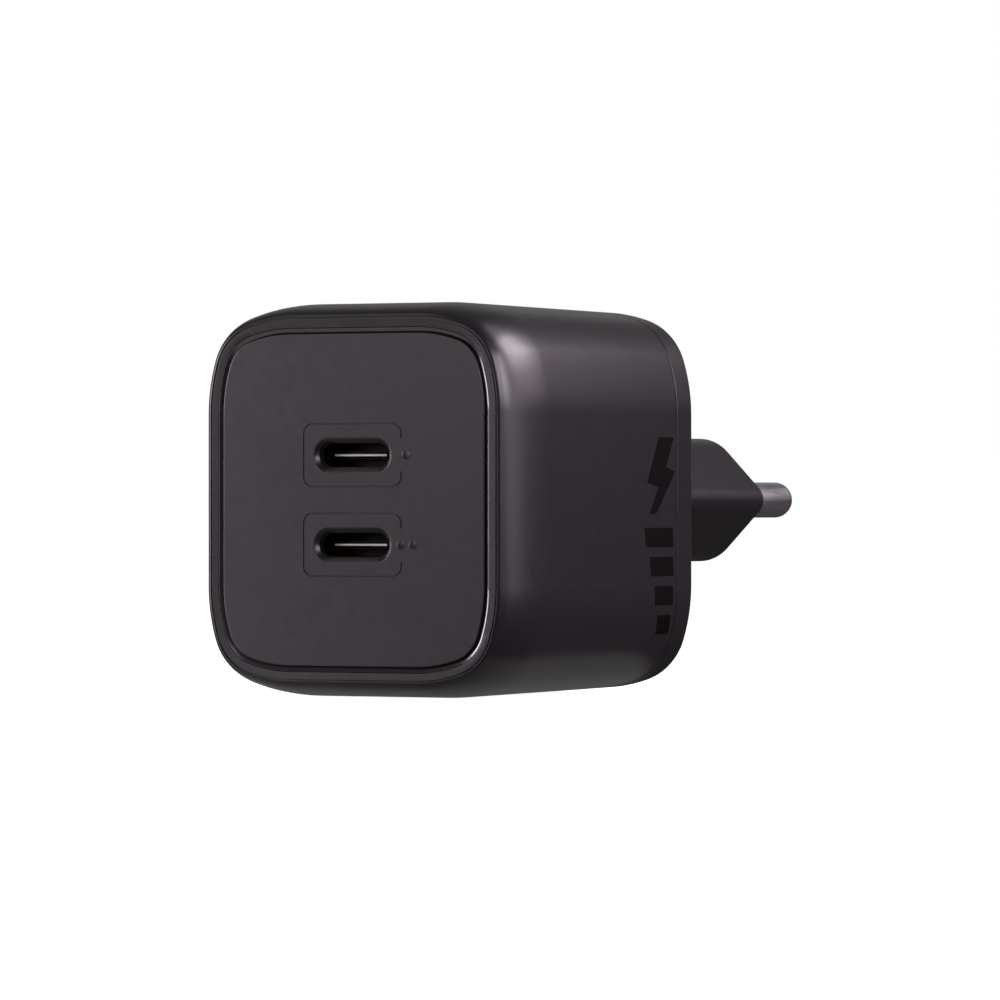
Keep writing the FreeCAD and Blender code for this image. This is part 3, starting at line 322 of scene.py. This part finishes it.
def make_plate(material):
    """Front plate with softened edge, two openings and the line round each."""
    skin = Skin()
    section = soften([(PLATE_INSET + 1, PLATE_THICKNESS, 0), (PLATE_INSET, PLATE_THICKNESS, 0.05),
                      (PLATE_INSET, PLATE_FACE, 0.09), (PLATE_INSET + 0.25, PLATE_FACE, 0)])[1:]
    rings = [skin.ring(soft_outline(inset), depth) for inset, depth in section]
    skin.chain(rings)
    front_holes, back_holes = [], []
    for level in PORT_LEVELS:
        mouth, seat = add_opening(skin, level)
        front_holes += [mouth, add_frame_groove(skin, level)]
        back_holes.append(seat)
    skin.cap(rings[-1], *front_holes)
    skin.cap(rings[0], *back_holes)
    return make_piece("face_plate", skin, material, "plate_plastic", "front_plate")


def add_disc(skin, x, z, radius, steps=28):
    """Low round dot on the plate, its edge rounded."""
    section = [(radius, 0.06), (radius, 0.012), (radius - 0.01, 0.006), (radius - 0.03, 0.004)]
    circle = sweep((0, 0), 1, 0, 2 * math.pi, steps)
    rings = [skin.ring([(x + size * a, z + size * b) for a, b in circle], depth)
             for size, depth in section]
    skin.chain(rings)
    skin.cap(rings[0])
    skin.cap(rings[-1])


def make_port_dots(material):
    """One dot beside the upper receptacle and two beside the lower one."""
    upper, lower = PORT_LEVELS
    dot_radius = 0.5
    skin = Skin()
    for x, level in ((6.75, upper), (6.1, lower), (7.6, lower)):
        add_disc(skin, x, level, dot_radius)
    return make_piece("port_dots", skin, material, "trim_plastic")


# ---------------------------------------------------------------- receptacle tongues

def bar_outline(width, height, radius, level):
    """Rounded rectangle of (x, z) points."""
    x, z = width / 2 - radius, height / 2 - radius
    points = []
    for number, (cx, cz) in enumerate(((x, z), (-x, z), (-x, -z), (x, -z))):
        start = number * math.pi / 2
        points += sweep((cx, level + cz), radius, start, start + math.pi / 2, 4)
        points.append((cx - radius * math.sin(start), level + cz + radius * math.cos(start)))
    return points


def make_bar(name, stations, level, material, slot, *nodes):
    """Closed bar over stations (depth, width, height, corner radius)."""
    skin = Skin()
    rings = [skin.ring(bar_outline(width, height, radius, level), depth)
             for depth, width, height, radius in stations]
    skin.chain(rings)
    skin.cap(rings[0])
    skin.cap(rings[-1])
    return make_piece(name, skin, material, slot, *nodes)


def make_tongues(plastic_material, steel):
    """Tongue with tapered nose on its base block, and the edge of the steel plate inside it."""
    for side, level in zip(("upper", "lower"), PORT_LEVELS):
        low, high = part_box(f"usb_tongue_{side}")
        tip, end = low.y / MM - FRONT, high.y / MM - FRONT
        block = end - 1.6
        tongue = [(tip + 0.01, 6.5, 0.28, 0.1), (tip + 0.03, 6.6, 0.3, 0.12),
                  (tip + 0.5, 6.69, 0.66, 0.16), (tip + 0.56, 6.69, 0.7, 0.18),
                  (block - 0.05, 6.69, 0.7, 0.18), (block, 6.75, 0.76, 0.2),
                  (block + 0.02, 8.2, 2.42, 1.15), (block + 0.12, 8.33, 2.55, 1.26),
                  (end, 8.33, 2.55, 1.26)]
        mid_plate = [(tip, 6.56, 0.2, 0.06), (tip + 0.03, 6.62, 0.26, 0.08), (tip + 2, 6.4, 0.2, 0.06)]
        make_bar(f"tongue_{side}", tongue, level, plastic_material, "tongue_plastic", f"usb_tongue_{side}")
        make_bar(f"mid_plate_{side}", mid_plate, level, steel, "receptacle_steel")


# ---------------------------------------------------------------- windings

def ribbed_winding(material):
    """Winding round the bobbin: turns of wire side by side, in one closed skin."""
    low, high = (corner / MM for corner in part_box("transformer_winding"))
    centre, half = (low + high) / 2, (high - low) / 2
    turns, corner_radius, thickness, steps = 16, 2.6, 2.95, 6
    wire = (high.z - low.z) / turns / 2
    section = [(thickness, low.z)]
    for turn in range(turns):
        for step in range(steps + (turn == turns - 1)):
            angle = -math.pi / 2 + math.pi * step / steps
            height = wire * (2 * turn + 1 + math.sin(angle))
            section.append((wire * (1 - math.cos(angle)), low.z + height))
    section.append((thickness, high.z))
    skin = Skin()
    rings = []
    for inset, z in section:
        radius = max(0.2, corner_radius - inset)
        outline = bar_outline(2 * (half.x - inset), 2 * (half.y - inset), radius, 0)
        rings.append(skin.path([(centre.x + x, centre.y + y, z) for x, y in outline]))
    skin.chain(rings + rings[:1])
    return make_piece("transformer_turns", skin, material, "winding_copper", "transformer_winding")


# ---------------------------------------------------------------- side mark

def side_surface(depth, z, lift):
    """Point on the right side of the housing, raised by `lift`."""
    inset = taper(depth)
    beyond = max(0.0, abs(z) - (HALF_HEIGHT - CORNER_LENGTH))
    x = math.sqrt((LARGE_RADIUS - inset) ** 2 - beyond ** 2) + lift
    return (x, FRONT + depth, z)


def add_print(skin, rows):
    """Thin closed layer of ink over rows (z, front depth, back depth) that follows the side."""
    top, under = 0.015, -0.03
    for lift in (top, under):
        left = skin.path([side_surface(front, z, lift) for z, front, _ in rows])
        right = skin.path([side_surface(back, z, lift) for z, _, back in rows])
        skin.strip(left, right)
        if lift == top:
            top_left, top_right = left, right
    skin.strip(top_left, left)
    skin.strip(top_right, right)
    for end in (0, -1):
        skin.faces.append((top_left[end], top_right[end], right[end], left[end]))


# Bolt, from top to bottom: height, front depth, back depth.
BOLT = [(6.8, 31.0, 34.3), (5.2, 30.2, 33.45), (3.6, 29.4, 32.6), (3.05, 29.12, 34.6), (2.4, 28.8, 34.0),
        (1.9, 28.55, 33.55), (1.35, 30.9, 33.05), (-0.2, 29.9, 31.65), (-1.5, 29.0, 30.45)]
BAR_LENGTHS = (6.8, 5.7, 4.6, 3.5)


def make_side_mark(material):
    """Plain power pictogram: a lightning bolt over four level bars."""
    back, first_top, pitch, height, steps = 34.7, -3.0, 3.15, 2.1, 6
    skin = Skin()
    add_print(skin, BOLT)
    for number, length in enumerate(BAR_LENGTHS):
        top = first_top - pitch * number
        heights = [top - height * step / steps for step in range(steps + 1)]
        lean = [0.28 * (top - z) for z in heights]
        add_print(skin, [(z, back - length + shift * 0.6, back - 0.6 + shift * 0.3)
                         for z, shift in zip(heights, lean)])
    return make_piece("side_mark", skin, material, "trim_plastic")


# ---------------------------------------------------------------- pins

def make_pins(metal, sleeve):
    """Round pins, waisted under their insulating sleeves, and gripped inside the neck."""
    radius, shank, sleeve_radius = 2.0, 1.5, 1.75
    grip_start, sleeve_end, steps = -12.0, 10.0, 18
    tube = soften([(shank, 0.0, 0), (sleeve_radius, 0.0, 0.1), (sleeve_radius, sleeve_end, 0.05),
                   (shank, sleeve_end, 0)])
    for side in ("left", "right"):
        low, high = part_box(f"plug_pin_{side}")
        x = (low.x + high.x) / 2 / MM
        start, dome = low.y / MM, high.y / MM - radius
        section = soften([(0, start, 0), (shank, start, 0.2), (shank, grip_start, 0),
                          (radius, grip_start, 0.15), (radius, -0.01, 0.1), (shank, -0.01, 0),
                          (shank, sleeve_end, 0), (radius, sleeve_end, 0.12), (radius, dome, 0)])
        angles = [math.pi / 2 * step / steps for step in range(1, steps)]
        section += [(radius * math.cos(a), dome + radius * math.sin(a)) for a in angles]
        section.append((0, dome + radius))
        make_piece(f"pin_{side}", lathe(section, x), metal, "pin_nickel", f"plug_pin_{side}")
        make_piece(f"sleeve_{side}", lathe(tube, x), sleeve, "sleeve_plastic", f"pin_sleeve_{side}")


# ---------------------------------------------------------------- rear cover

def make_cover(material):
    """The CAD cover's shape, smoothly shaded across its corners."""
    cover = frame["nodes"]["rear_cover"]
    mesh = bpy.data.meshes.new("cover_shell")
    mesh.from_pydata([cover.matrix_world @ point.co for point in cover.data.vertices], [],
                     [tuple(face.vertices) for face in cover.data.polygons])
    return finish_piece("cover_shell", mesh, material, "cover_plastic", "rear_cover")


# ---------------------------------------------------------------- materials

class Surface:
    """Node material built on one Principled shader."""

    def __init__(self, name, **constants):
        self.material = bpy.data.materials.new(name)
        self.material.use_nodes = True
        self.nodes = self.material.node_tree.nodes
        self.links = self.material.node_tree.links
        self.shader = self.nodes["Principled BSDF"]
        for socket, size in constants.items():
            self.shader.inputs[socket.replace("_", " ")].default_value = size
        self.where = self.nodes.new("ShaderNodeTexCoord").outputs["Object"]

    def stretched(self, scale):
        """Object coordinates scaled unevenly, for marks that run one way."""
        mapping = self.nodes.new("ShaderNodeMapping")
        mapping.inputs["Scale"].default_value = scale
        self.links.new(self.where, mapping.inputs["Vector"])
        return mapping.outputs["Vector"]

    def noise(self, scale, detail=2.0, where=None):
        node = self.nodes.new("ShaderNodeTexNoise")
        node.inputs["Scale"].default_value = scale
        node.inputs["Detail"].default_value = detail
        self.links.new(where or self.where, node.inputs["Vector"])
        return node.outputs["Fac"]

    def colour(self, pattern, dark, light, low=0.3, high=0.7):
        """Base colour that runs from dark to light with a pattern."""
        ramp = self.nodes.new("ShaderNodeValToRGB")
        for element, position, shade in zip(ramp.color_ramp.elements, (low, high), (dark, light)):
            element.position = position
            element.color = (*shade, 1)
        self.links.new(pattern, ramp.inputs["Fac"])
        self.links.new(ramp.outputs["Color"], self.shader.inputs["Base Color"])

    def roughness(self, pattern, low, high):
        span = self.nodes.new("ShaderNodeMapRange")
        span.inputs["From Min"].default_value = 0.3
        span.inputs["From Max"].default_value = 0.7
        span.inputs["To Min"].default_value = low
        span.inputs["To Max"].default_value = high
        self.links.new(pattern, span.inputs["Value"])
        self.links.new(span.outputs["Result"], self.shader.inputs["Roughness"])

    def bump(self, *patterns):
        """Relief from one or more (pattern, height in mm)."""
        normal = None
        for pattern, height in patterns:
            node = self.nodes.new("ShaderNodeBump")
            node.inputs["Distance"].default_value = height * MM
            self.links.new(pattern, node.inputs["Height"])
            if normal:
                self.links.new(normal, node.inputs["Normal"])
            normal = node.outputs["Normal"]
        self.links.new(normal, self.shader.inputs["Normal"])


def plastic(name, colour, roughness, grain=5200, relief=0.004, **constants):
    """Moulded plastic: spark-eroded grain, faint clouding of colour and gloss."""
    spread, gloss_spread = 0.04, 0.015
    surface = Surface(name, **constants)
    dark, light = ([part * (1 + change) for part in colour] for change in (-spread, spread))
    surface.colour(surface.noise(700, 4), dark, light)
    surface.roughness(surface.noise(900, 3), roughness - gloss_spread, roughness + gloss_spread)
    surface.bump((surface.noise(grain, 1), relief), (surface.noise(grain * 3, 1), relief * 0.3))
    return surface.material


def metal(name, dark, light, roughness, along=(1, 1, 1), relief=0.0006):
    """Metal with fine marks that run one way and patches of tarnish."""
    surface = Surface(name, Metallic=1.0)
    marks = surface.noise(900, 3, surface.stretched(along))
    surface.colour(surface.noise(260, 4), dark, light)
    surface.roughness(marks, roughness - 0.06, roughness + 0.06)
    surface.bump((marks, relief))
    return surface.material


def circuit_board(name):
    """Green solder mask over copper tracks."""
    surface = Surface(name, Coat_Weight=0.4)
    tracks = surface.nodes.new("ShaderNodeTexBrick")
    tracks.inputs["Scale"].default_value = 260
    tracks.inputs["Mortar Size"].default_value = 0.03
    tracks.inputs["Color1"].default_value = (0.012, 0.11, 0.05, 1)
    tracks.inputs["Color2"].default_value = (0.016, 0.15, 0.07, 1)
    tracks.inputs["Mortar"].default_value = (0.006, 0.06, 0.03, 1)
    surface.links.new(surface.where, tracks.inputs["Vector"])
    surface.links.new(tracks.outputs["Color"], surface.shader.inputs["Base Color"])
    surface.roughness(surface.noise(500, 3), 0.3, 0.45)
    surface.bump((tracks.outputs["Fac"], 0.03), (surface.noise(4000, 2), 0.004))
    return surface.material


def copper_winding(name):
    """Turns of enamelled wire laid side by side."""
    surface = Surface(name, Metallic=1.0)
    turns = surface.nodes.new("ShaderNodeTexWave")
    turns.bands_direction = "Z"
    turns.inputs["Scale"].default_value = 380
    turns.inputs["Distortion"].default_value = 1.2
    turns.inputs["Detail Scale"].default_value = 60
    surface.links.new(surface.where, turns.inputs["Vector"])
    surface.colour(turns.outputs["Fac"], (0.25, 0.08, 0.03), (0.75, 0.32, 0.14), 0.1, 0.8)
    surface.roughness(surface.noise(700, 3), 0.28, 0.42)
    surface.bump((turns.outputs["Fac"], 0.25))
    return surface.material


CHARCOAL = (0.0085, 0.0066, 0.0084)

# Moulded slots: colour, roughness, then scale and height of the grain where they differ.
PLASTICS = {
    "housing_plastic": (CHARCOAL, 0.31),
    "plate_plastic": (CHARCOAL, 0.33, 5200, 0.006),
    "cover_plastic": ((0.0075, 0.0058, 0.0074), 0.32),
    "sleeve_plastic": ((0.02, 0.02, 0.02), 0.38, 5200, 0.002),
    "tongue_plastic": ((0.006, 0.006, 0.006), 0.5, 5200, 0.002),
    "ferrite": ((0.06, 0.06, 0.065), 0.6, 3000, 0.02),
    "bobbin_plastic": ((0.03, 0.026, 0.024), 0.4),
    "capacitor_sleeve": ((0.015, 0.018, 0.03), 0.3, 1800, 0.004),
    "film_capacitor_case": ((0.55, 0.4, 0.06), 0.35, 2500, 0.008),
    "ceramic_blue": ((0.03, 0.09, 0.3), 0.25, 900, 0.03),
    "ceramic_green": ((0.02, 0.1, 0.05), 0.3, 900, 0.03),
    "fuse_body": ((0.6, 0.57, 0.48), 0.5, 2400, 0.01),
    "chip_epoxy": ((0.02, 0.02, 0.02), 0.55, 4200, 0.008),
    "thermal_silicone": ((0.3, 0.34, 0.42), 0.7, 2000, 0.02),
    "insulating_sheet": ((0.7, 0.66, 0.55), 0.35, 800, 0.01),
}

# Metal slots: dark and light colour, roughness, stretch of the marks, height of the marks.
METALS = {
    "pin_nickel": ((0.55, 0.52, 0.54), (0.62, 0.59, 0.61), 0.3, (1, 0.15, 1), 0.0003),
    "contact_strip": ((0.6, 0.42, 0.2), (0.8, 0.6, 0.32), 0.35, (1, 8, 1)),
    # Receptacle steel and gold contacts get near-black colours: painted shade of the inside of the ports,
    # not the metals' own colour.
    "receptacle_steel": ((0.014, 0.013, 0.014), (0.024, 0.022, 0.024), 0.42, (1, 10, 1)),
    "gold_contacts": ((0.045, 0.034, 0.018), (0.07, 0.052, 0.026), 0.4, (1, 8, 1)),
    "spreader_metal": ((0.62, 0.62, 0.64), (0.8, 0.8, 0.82), 0.35, (8, 1, 1)),
}


def make_materials():
    """One material for each of the record's slots."""
    made = {name: plastic(name, *values) for name, values in PLASTICS.items()}
    made.update({name: metal(name, *values) for name, values in METALS.items()})
    made["trim_plastic"] = plastic("trim_plastic", (0.010, 0.008, 0.010), 0.2, relief=0.001,
                                   Specular_IOR_Level=0.7)
    made["circuit_board"] = circuit_board("circuit_board")
    made["winding_copper"] = copper_winding("winding_copper")
    return made


def print_ink():
    """Dull black print, a little uneven at its surface."""
    return plastic("print_ink", (0.0016, 0.0015, 0.0016), 0.6, 3000, 0.002, Specular_IOR_Level=0.05)


def nose_steel():
    """Bare edge of the plate inside each tongue."""
    return metal("nose_steel", (0.26, 0.25, 0.26), (0.34, 0.32, 0.34), 0.5, (1, 8, 1))


# ---------------------------------------------------------------- stage

VIEW_AZIMUTH = math.radians(32.8)
ACROSS_VIEW = Vector((math.cos(VIEW_AZIMUTH), math.sin(VIEW_AZIMUTH), 0))
INTO_VIEW = Vector((-math.sin(VIEW_AZIMUTH), math.cos(VIEW_AZIMUTH), 0))
CAMERA_DISTANCE = 770 * MM
CAMERA_SHIFT = 15.65 * MM
FOCAL_LENGTH = 261.9
SENSOR_WIDTH = 36


def make_camera():
    """Long lens, level with the middle of the charger, looking at its front right edge."""
    front_centre = Vector((0, FRONT * MM, 0))
    camera = bpy.data.objects.new("camera", bpy.data.cameras.new("camera"))
    camera.location = front_centre - CAMERA_DISTANCE * INTO_VIEW
    target = front_centre + CAMERA_SHIFT * ACROSS_VIEW
    camera.rotation_euler = (target - camera.location).to_track_quat("-Z", "Y").to_euler()
    camera.data.sensor_width = SENSOR_WIDTH
    camera.data.lens = FOCAL_LENGTH
    camera.data.clip_start, camera.data.clip_end = 0.01, 20
    bpy.context.scene.collection.objects.link(camera)
    bpy.context.scene.camera = camera


# Softboxes: name, azimuth and elevation in degrees, power in watts.
LIGHTS = [
    ("front_left", -60, 5, 0.56),
    ("front", -15, 12, 0.08),
    ("front_right_high", 60, 20, 0.30),
    ("right", 90, 20, 0.36),
    ("right_low", 110, 5, 0.060),
    ("right_rear", 130, 20, 0.085),
    ("right_rear_high", 130, 36, 0.40),
    ("rear_high", 140, 54, 0.060),
    ("left_high", -60, 54, 0.032),
]
LIGHT_DISTANCE = 0.26
LIGHT_SIZE = 0.11
LIGHT_COLOUR = (1.0, 0.89, 0.985)

BODY_CENTRE = Vector((0, (FRONT + SEAM_DEPTH / 2) * MM, 0))


def make_softbox(name, azimuth, elevation, power):
    """Square area light that faces the middle of the charger."""
    light = bpy.data.lights.new(name, "AREA")
    light.shape = "SQUARE"
    light.size = LIGHT_SIZE
    light.color = LIGHT_COLOUR
    light.energy = power
    lamp = bpy.data.objects.new(name, light)
    a, e = math.radians(azimuth), math.radians(elevation)
    direction = Vector((math.sin(a) * math.cos(e), -math.cos(a) * math.cos(e), math.sin(e)))
    lamp.location = BODY_CENTRE + LIGHT_DISTANCE * direction
    lamp.rotation_euler = (-direction).to_track_quat("-Z", "Y").to_euler()
    bpy.context.scene.collection.objects.link(lamp)


def grey(level):
    return (level, level, level, 1)


def shader_for_camera_only(nodes, links, seen, otherwise):
    """Mix two shaders: one that the camera sees, one that lights the object."""
    path = nodes.new("ShaderNodeLightPath")
    mix = nodes.new("ShaderNodeMixShader")
    links.new(path.outputs["Is Camera Ray"], mix.inputs["Fac"])
    links.new(otherwise, mix.inputs[1])
    links.new(seen, mix.inputs[2])
    return mix.outputs["Shader"]


def summed(nodes, links, first, *others):
    """All of the shaders, added up."""
    total = first
    for shader in others:
        both = nodes.new("ShaderNodeAddShader")
        links.new(total, both.inputs[0])
        links.new(shader, both.inputs[1])
        total = both.outputs["Shader"]
    return total


def vector_step(nodes, links, operation, source, other=None):
    """One step of vector arithmetic."""
    node = nodes.new("ShaderNodeVectorMath")
    node.operation = operation
    links.new(source, node.inputs[0])
    if other is not None:
        node.inputs[1].default_value = other
    return node


def ramp_of(nodes, links, source, low, high):
    """Factor that goes smoothly from 0 at one value to 1 at the other."""
    ramp = nodes.new("ShaderNodeMapRange")
    ramp.interpolation_type = "SMOOTHSTEP"
    ramp.inputs["From Min"].default_value = low
    ramp.inputs["From Max"].default_value = high
    links.new(source, ramp.inputs["Value"])
    return ramp.outputs["Result"]


def glow(nodes, links, kind, place, strength):
    """White light of a kind of shader, its strength scaled by a factor for the place."""
    product = nodes.new("ShaderNodeMath")
    product.operation = "MULTIPLY"
    product.inputs[1].default_value = strength
    links.new(place, product.inputs[0])
    shader = nodes.new(kind)
    shader.inputs["Color"].default_value = grey(1)
    links.new(product.outputs["Value"], shader.inputs["Strength"])
    return shader.outputs[0]


# Light that the object gets from its surroundings, as a share of full white.
AMBIENT = 0.12
BACK_GLOW = 0.2
FLOOR_BOUNCE = 0.06
UNDER_GLOW = 0.2
AHEAD_GLOW = 0.7

# Where the glows reach, in metres; the back glow in cosines of the angle off the view.
BACK_FROM, BACK_FULL = 0.8, 0.95
UNDER_REACH = 0.022
AHEAD_CENTRE = (-0.036, -0.1)
AHEAD_REACH = 0.06

# The floor as the camera sees it.
FLOOR_GLOW = 0.97
FLOOR_WHITE = 0.8
FLOOR_HALF_SIZE = 6.0
FLOOR_LEVEL = cad_low.z - 0.02 * MM


def make_world():
    """White backdrop for the camera; for the object a dim room, brighter straight behind it."""
    world = bpy.data.worlds.new("studio")
    bpy.context.scene.world = world
    world.use_nodes = True
    nodes, links = world.node_tree.nodes, world.node_tree.links
    nodes.clear()
    seen = nodes.new("ShaderNodeBackground")
    seen.inputs["Color"].default_value = grey(1)
    ambient = nodes.new("ShaderNodeBackground")
    ambient.inputs["Color"].default_value = grey(AMBIENT)
    direction = nodes.new("ShaderNodeTexCoord").outputs["Generated"]
    facing = vector_step(nodes, links, "DOT_PRODUCT", direction, INTO_VIEW)
    behind = ramp_of(nodes, links, facing.outputs["Value"], BACK_FROM, BACK_FULL)
    back = glow(nodes, links, "ShaderNodeBackground", behind, BACK_GLOW)
    room = summed(nodes, links, ambient.outputs[0], back)
    shader = shader_for_camera_only(nodes, links, seen.outputs[0], room)
    links.new(shader, nodes.new("ShaderNodeOutputWorld").inputs["Surface"])


def floor_glows(nodes, links):
    """Two lit patches of floor: one under the charger, one ahead of it to the left."""
    place = nodes.new("ShaderNodeTexCoord").outputs["Object"]
    offset = vector_step(nodes, links, "SUBTRACT", place, BODY_CENTRE)
    away = vector_step(nodes, links, "ABSOLUTE", offset.outputs["Vector"])
    split = nodes.new("ShaderNodeSeparateXYZ")
    links.new(away.outputs["Vector"], split.inputs["Vector"])
    farthest = nodes.new("ShaderNodeMath")
    farthest.operation = "MAXIMUM"
    links.new(split.outputs["X"], farthest.inputs[0])
    links.new(split.outputs["Y"], farthest.inputs[1])
    below = ramp_of(nodes, links, farthest.outputs["Value"], UNDER_REACH, HALF_WIDTH * MM)
    spacing = vector_step(nodes, links, "DISTANCE", place, (*AHEAD_CENTRE, FLOOR_LEVEL))
    ahead = ramp_of(nodes, links, spacing.outputs["Value"], AHEAD_REACH, AHEAD_REACH / 3)
    return [glow(nodes, links, "ShaderNodeEmission", below, UNDER_GLOW),
            glow(nodes, links, "ShaderNodeEmission", ahead, AHEAD_GLOW)]


def floor_material():
    """White paper for the camera; for the object dim, with two lit patches."""
    material = bpy.data.materials.new("floor")
    material.use_nodes = True
    nodes, links = material.node_tree.nodes, material.node_tree.links
    nodes.clear()
    white = nodes.new("ShaderNodeEmission")
    white.inputs["Color"].default_value = grey(1)
    white.inputs["Strength"].default_value = FLOOR_GLOW
    paper = nodes.new("ShaderNodeBsdfDiffuse")
    paper.inputs["Color"].default_value = grey(FLOOR_WHITE)
    dim = nodes.new("ShaderNodeBsdfDiffuse")
    dim.inputs["Color"].default_value = grey(FLOOR_BOUNCE)
    seen = summed(nodes, links, white.outputs[0], paper.outputs[0])
    felt = summed(nodes, links, dim.outputs[0], *floor_glows(nodes, links))
    shader = shader_for_camera_only(nodes, links, seen, felt)
    links.new(shader, nodes.new("ShaderNodeOutputMaterial").inputs["Surface"])
    return material


def make_floor():
    """Plain pale floor, just under the charger."""
    mesh = bpy.data.meshes.new("floor")
    square = ((-1, -1), (1, -1), (1, 1), (-1, 1))
    corners = [(x * FLOOR_HALF_SIZE, y * FLOOR_HALF_SIZE, FLOOR_LEVEL) for x, y in square]
    mesh.from_pydata(corners, [], [(0, 1, 2, 3)])
    mesh.materials.append(floor_material())
    floor = bpy.data.objects.new("floor", mesh)
    bpy.context.scene.collection.objects.link(floor)


# ---------------------------------------------------------------- scene

make_camera()
make_world()
make_floor()
for light in LIGHTS:
    make_softbox(*light)

materials = make_materials()
for subpart in frame["record"]["subparts"]:
    mesh = frame["nodes"][subpart["node"]].data
    mesh.materials.clear()
    mesh.materials.append(materials[subpart["material_slot"]])

make_housing(materials["housing_plastic"])
make_trim_ring(materials["trim_plastic"])
make_plate(materials["plate_plastic"])
make_port_dots(materials["trim_plastic"])
make_side_mark(print_ink())
make_tongues(materials["tongue_plastic"], nose_steel())
make_pins(materials["pin_nickel"], materials["sleeve_plastic"])
ribbed_winding(materials["winding_copper"])
make_cover(materials["cover_plastic"])

bpy.context.scene.view_settings.view_transform = "Standard"
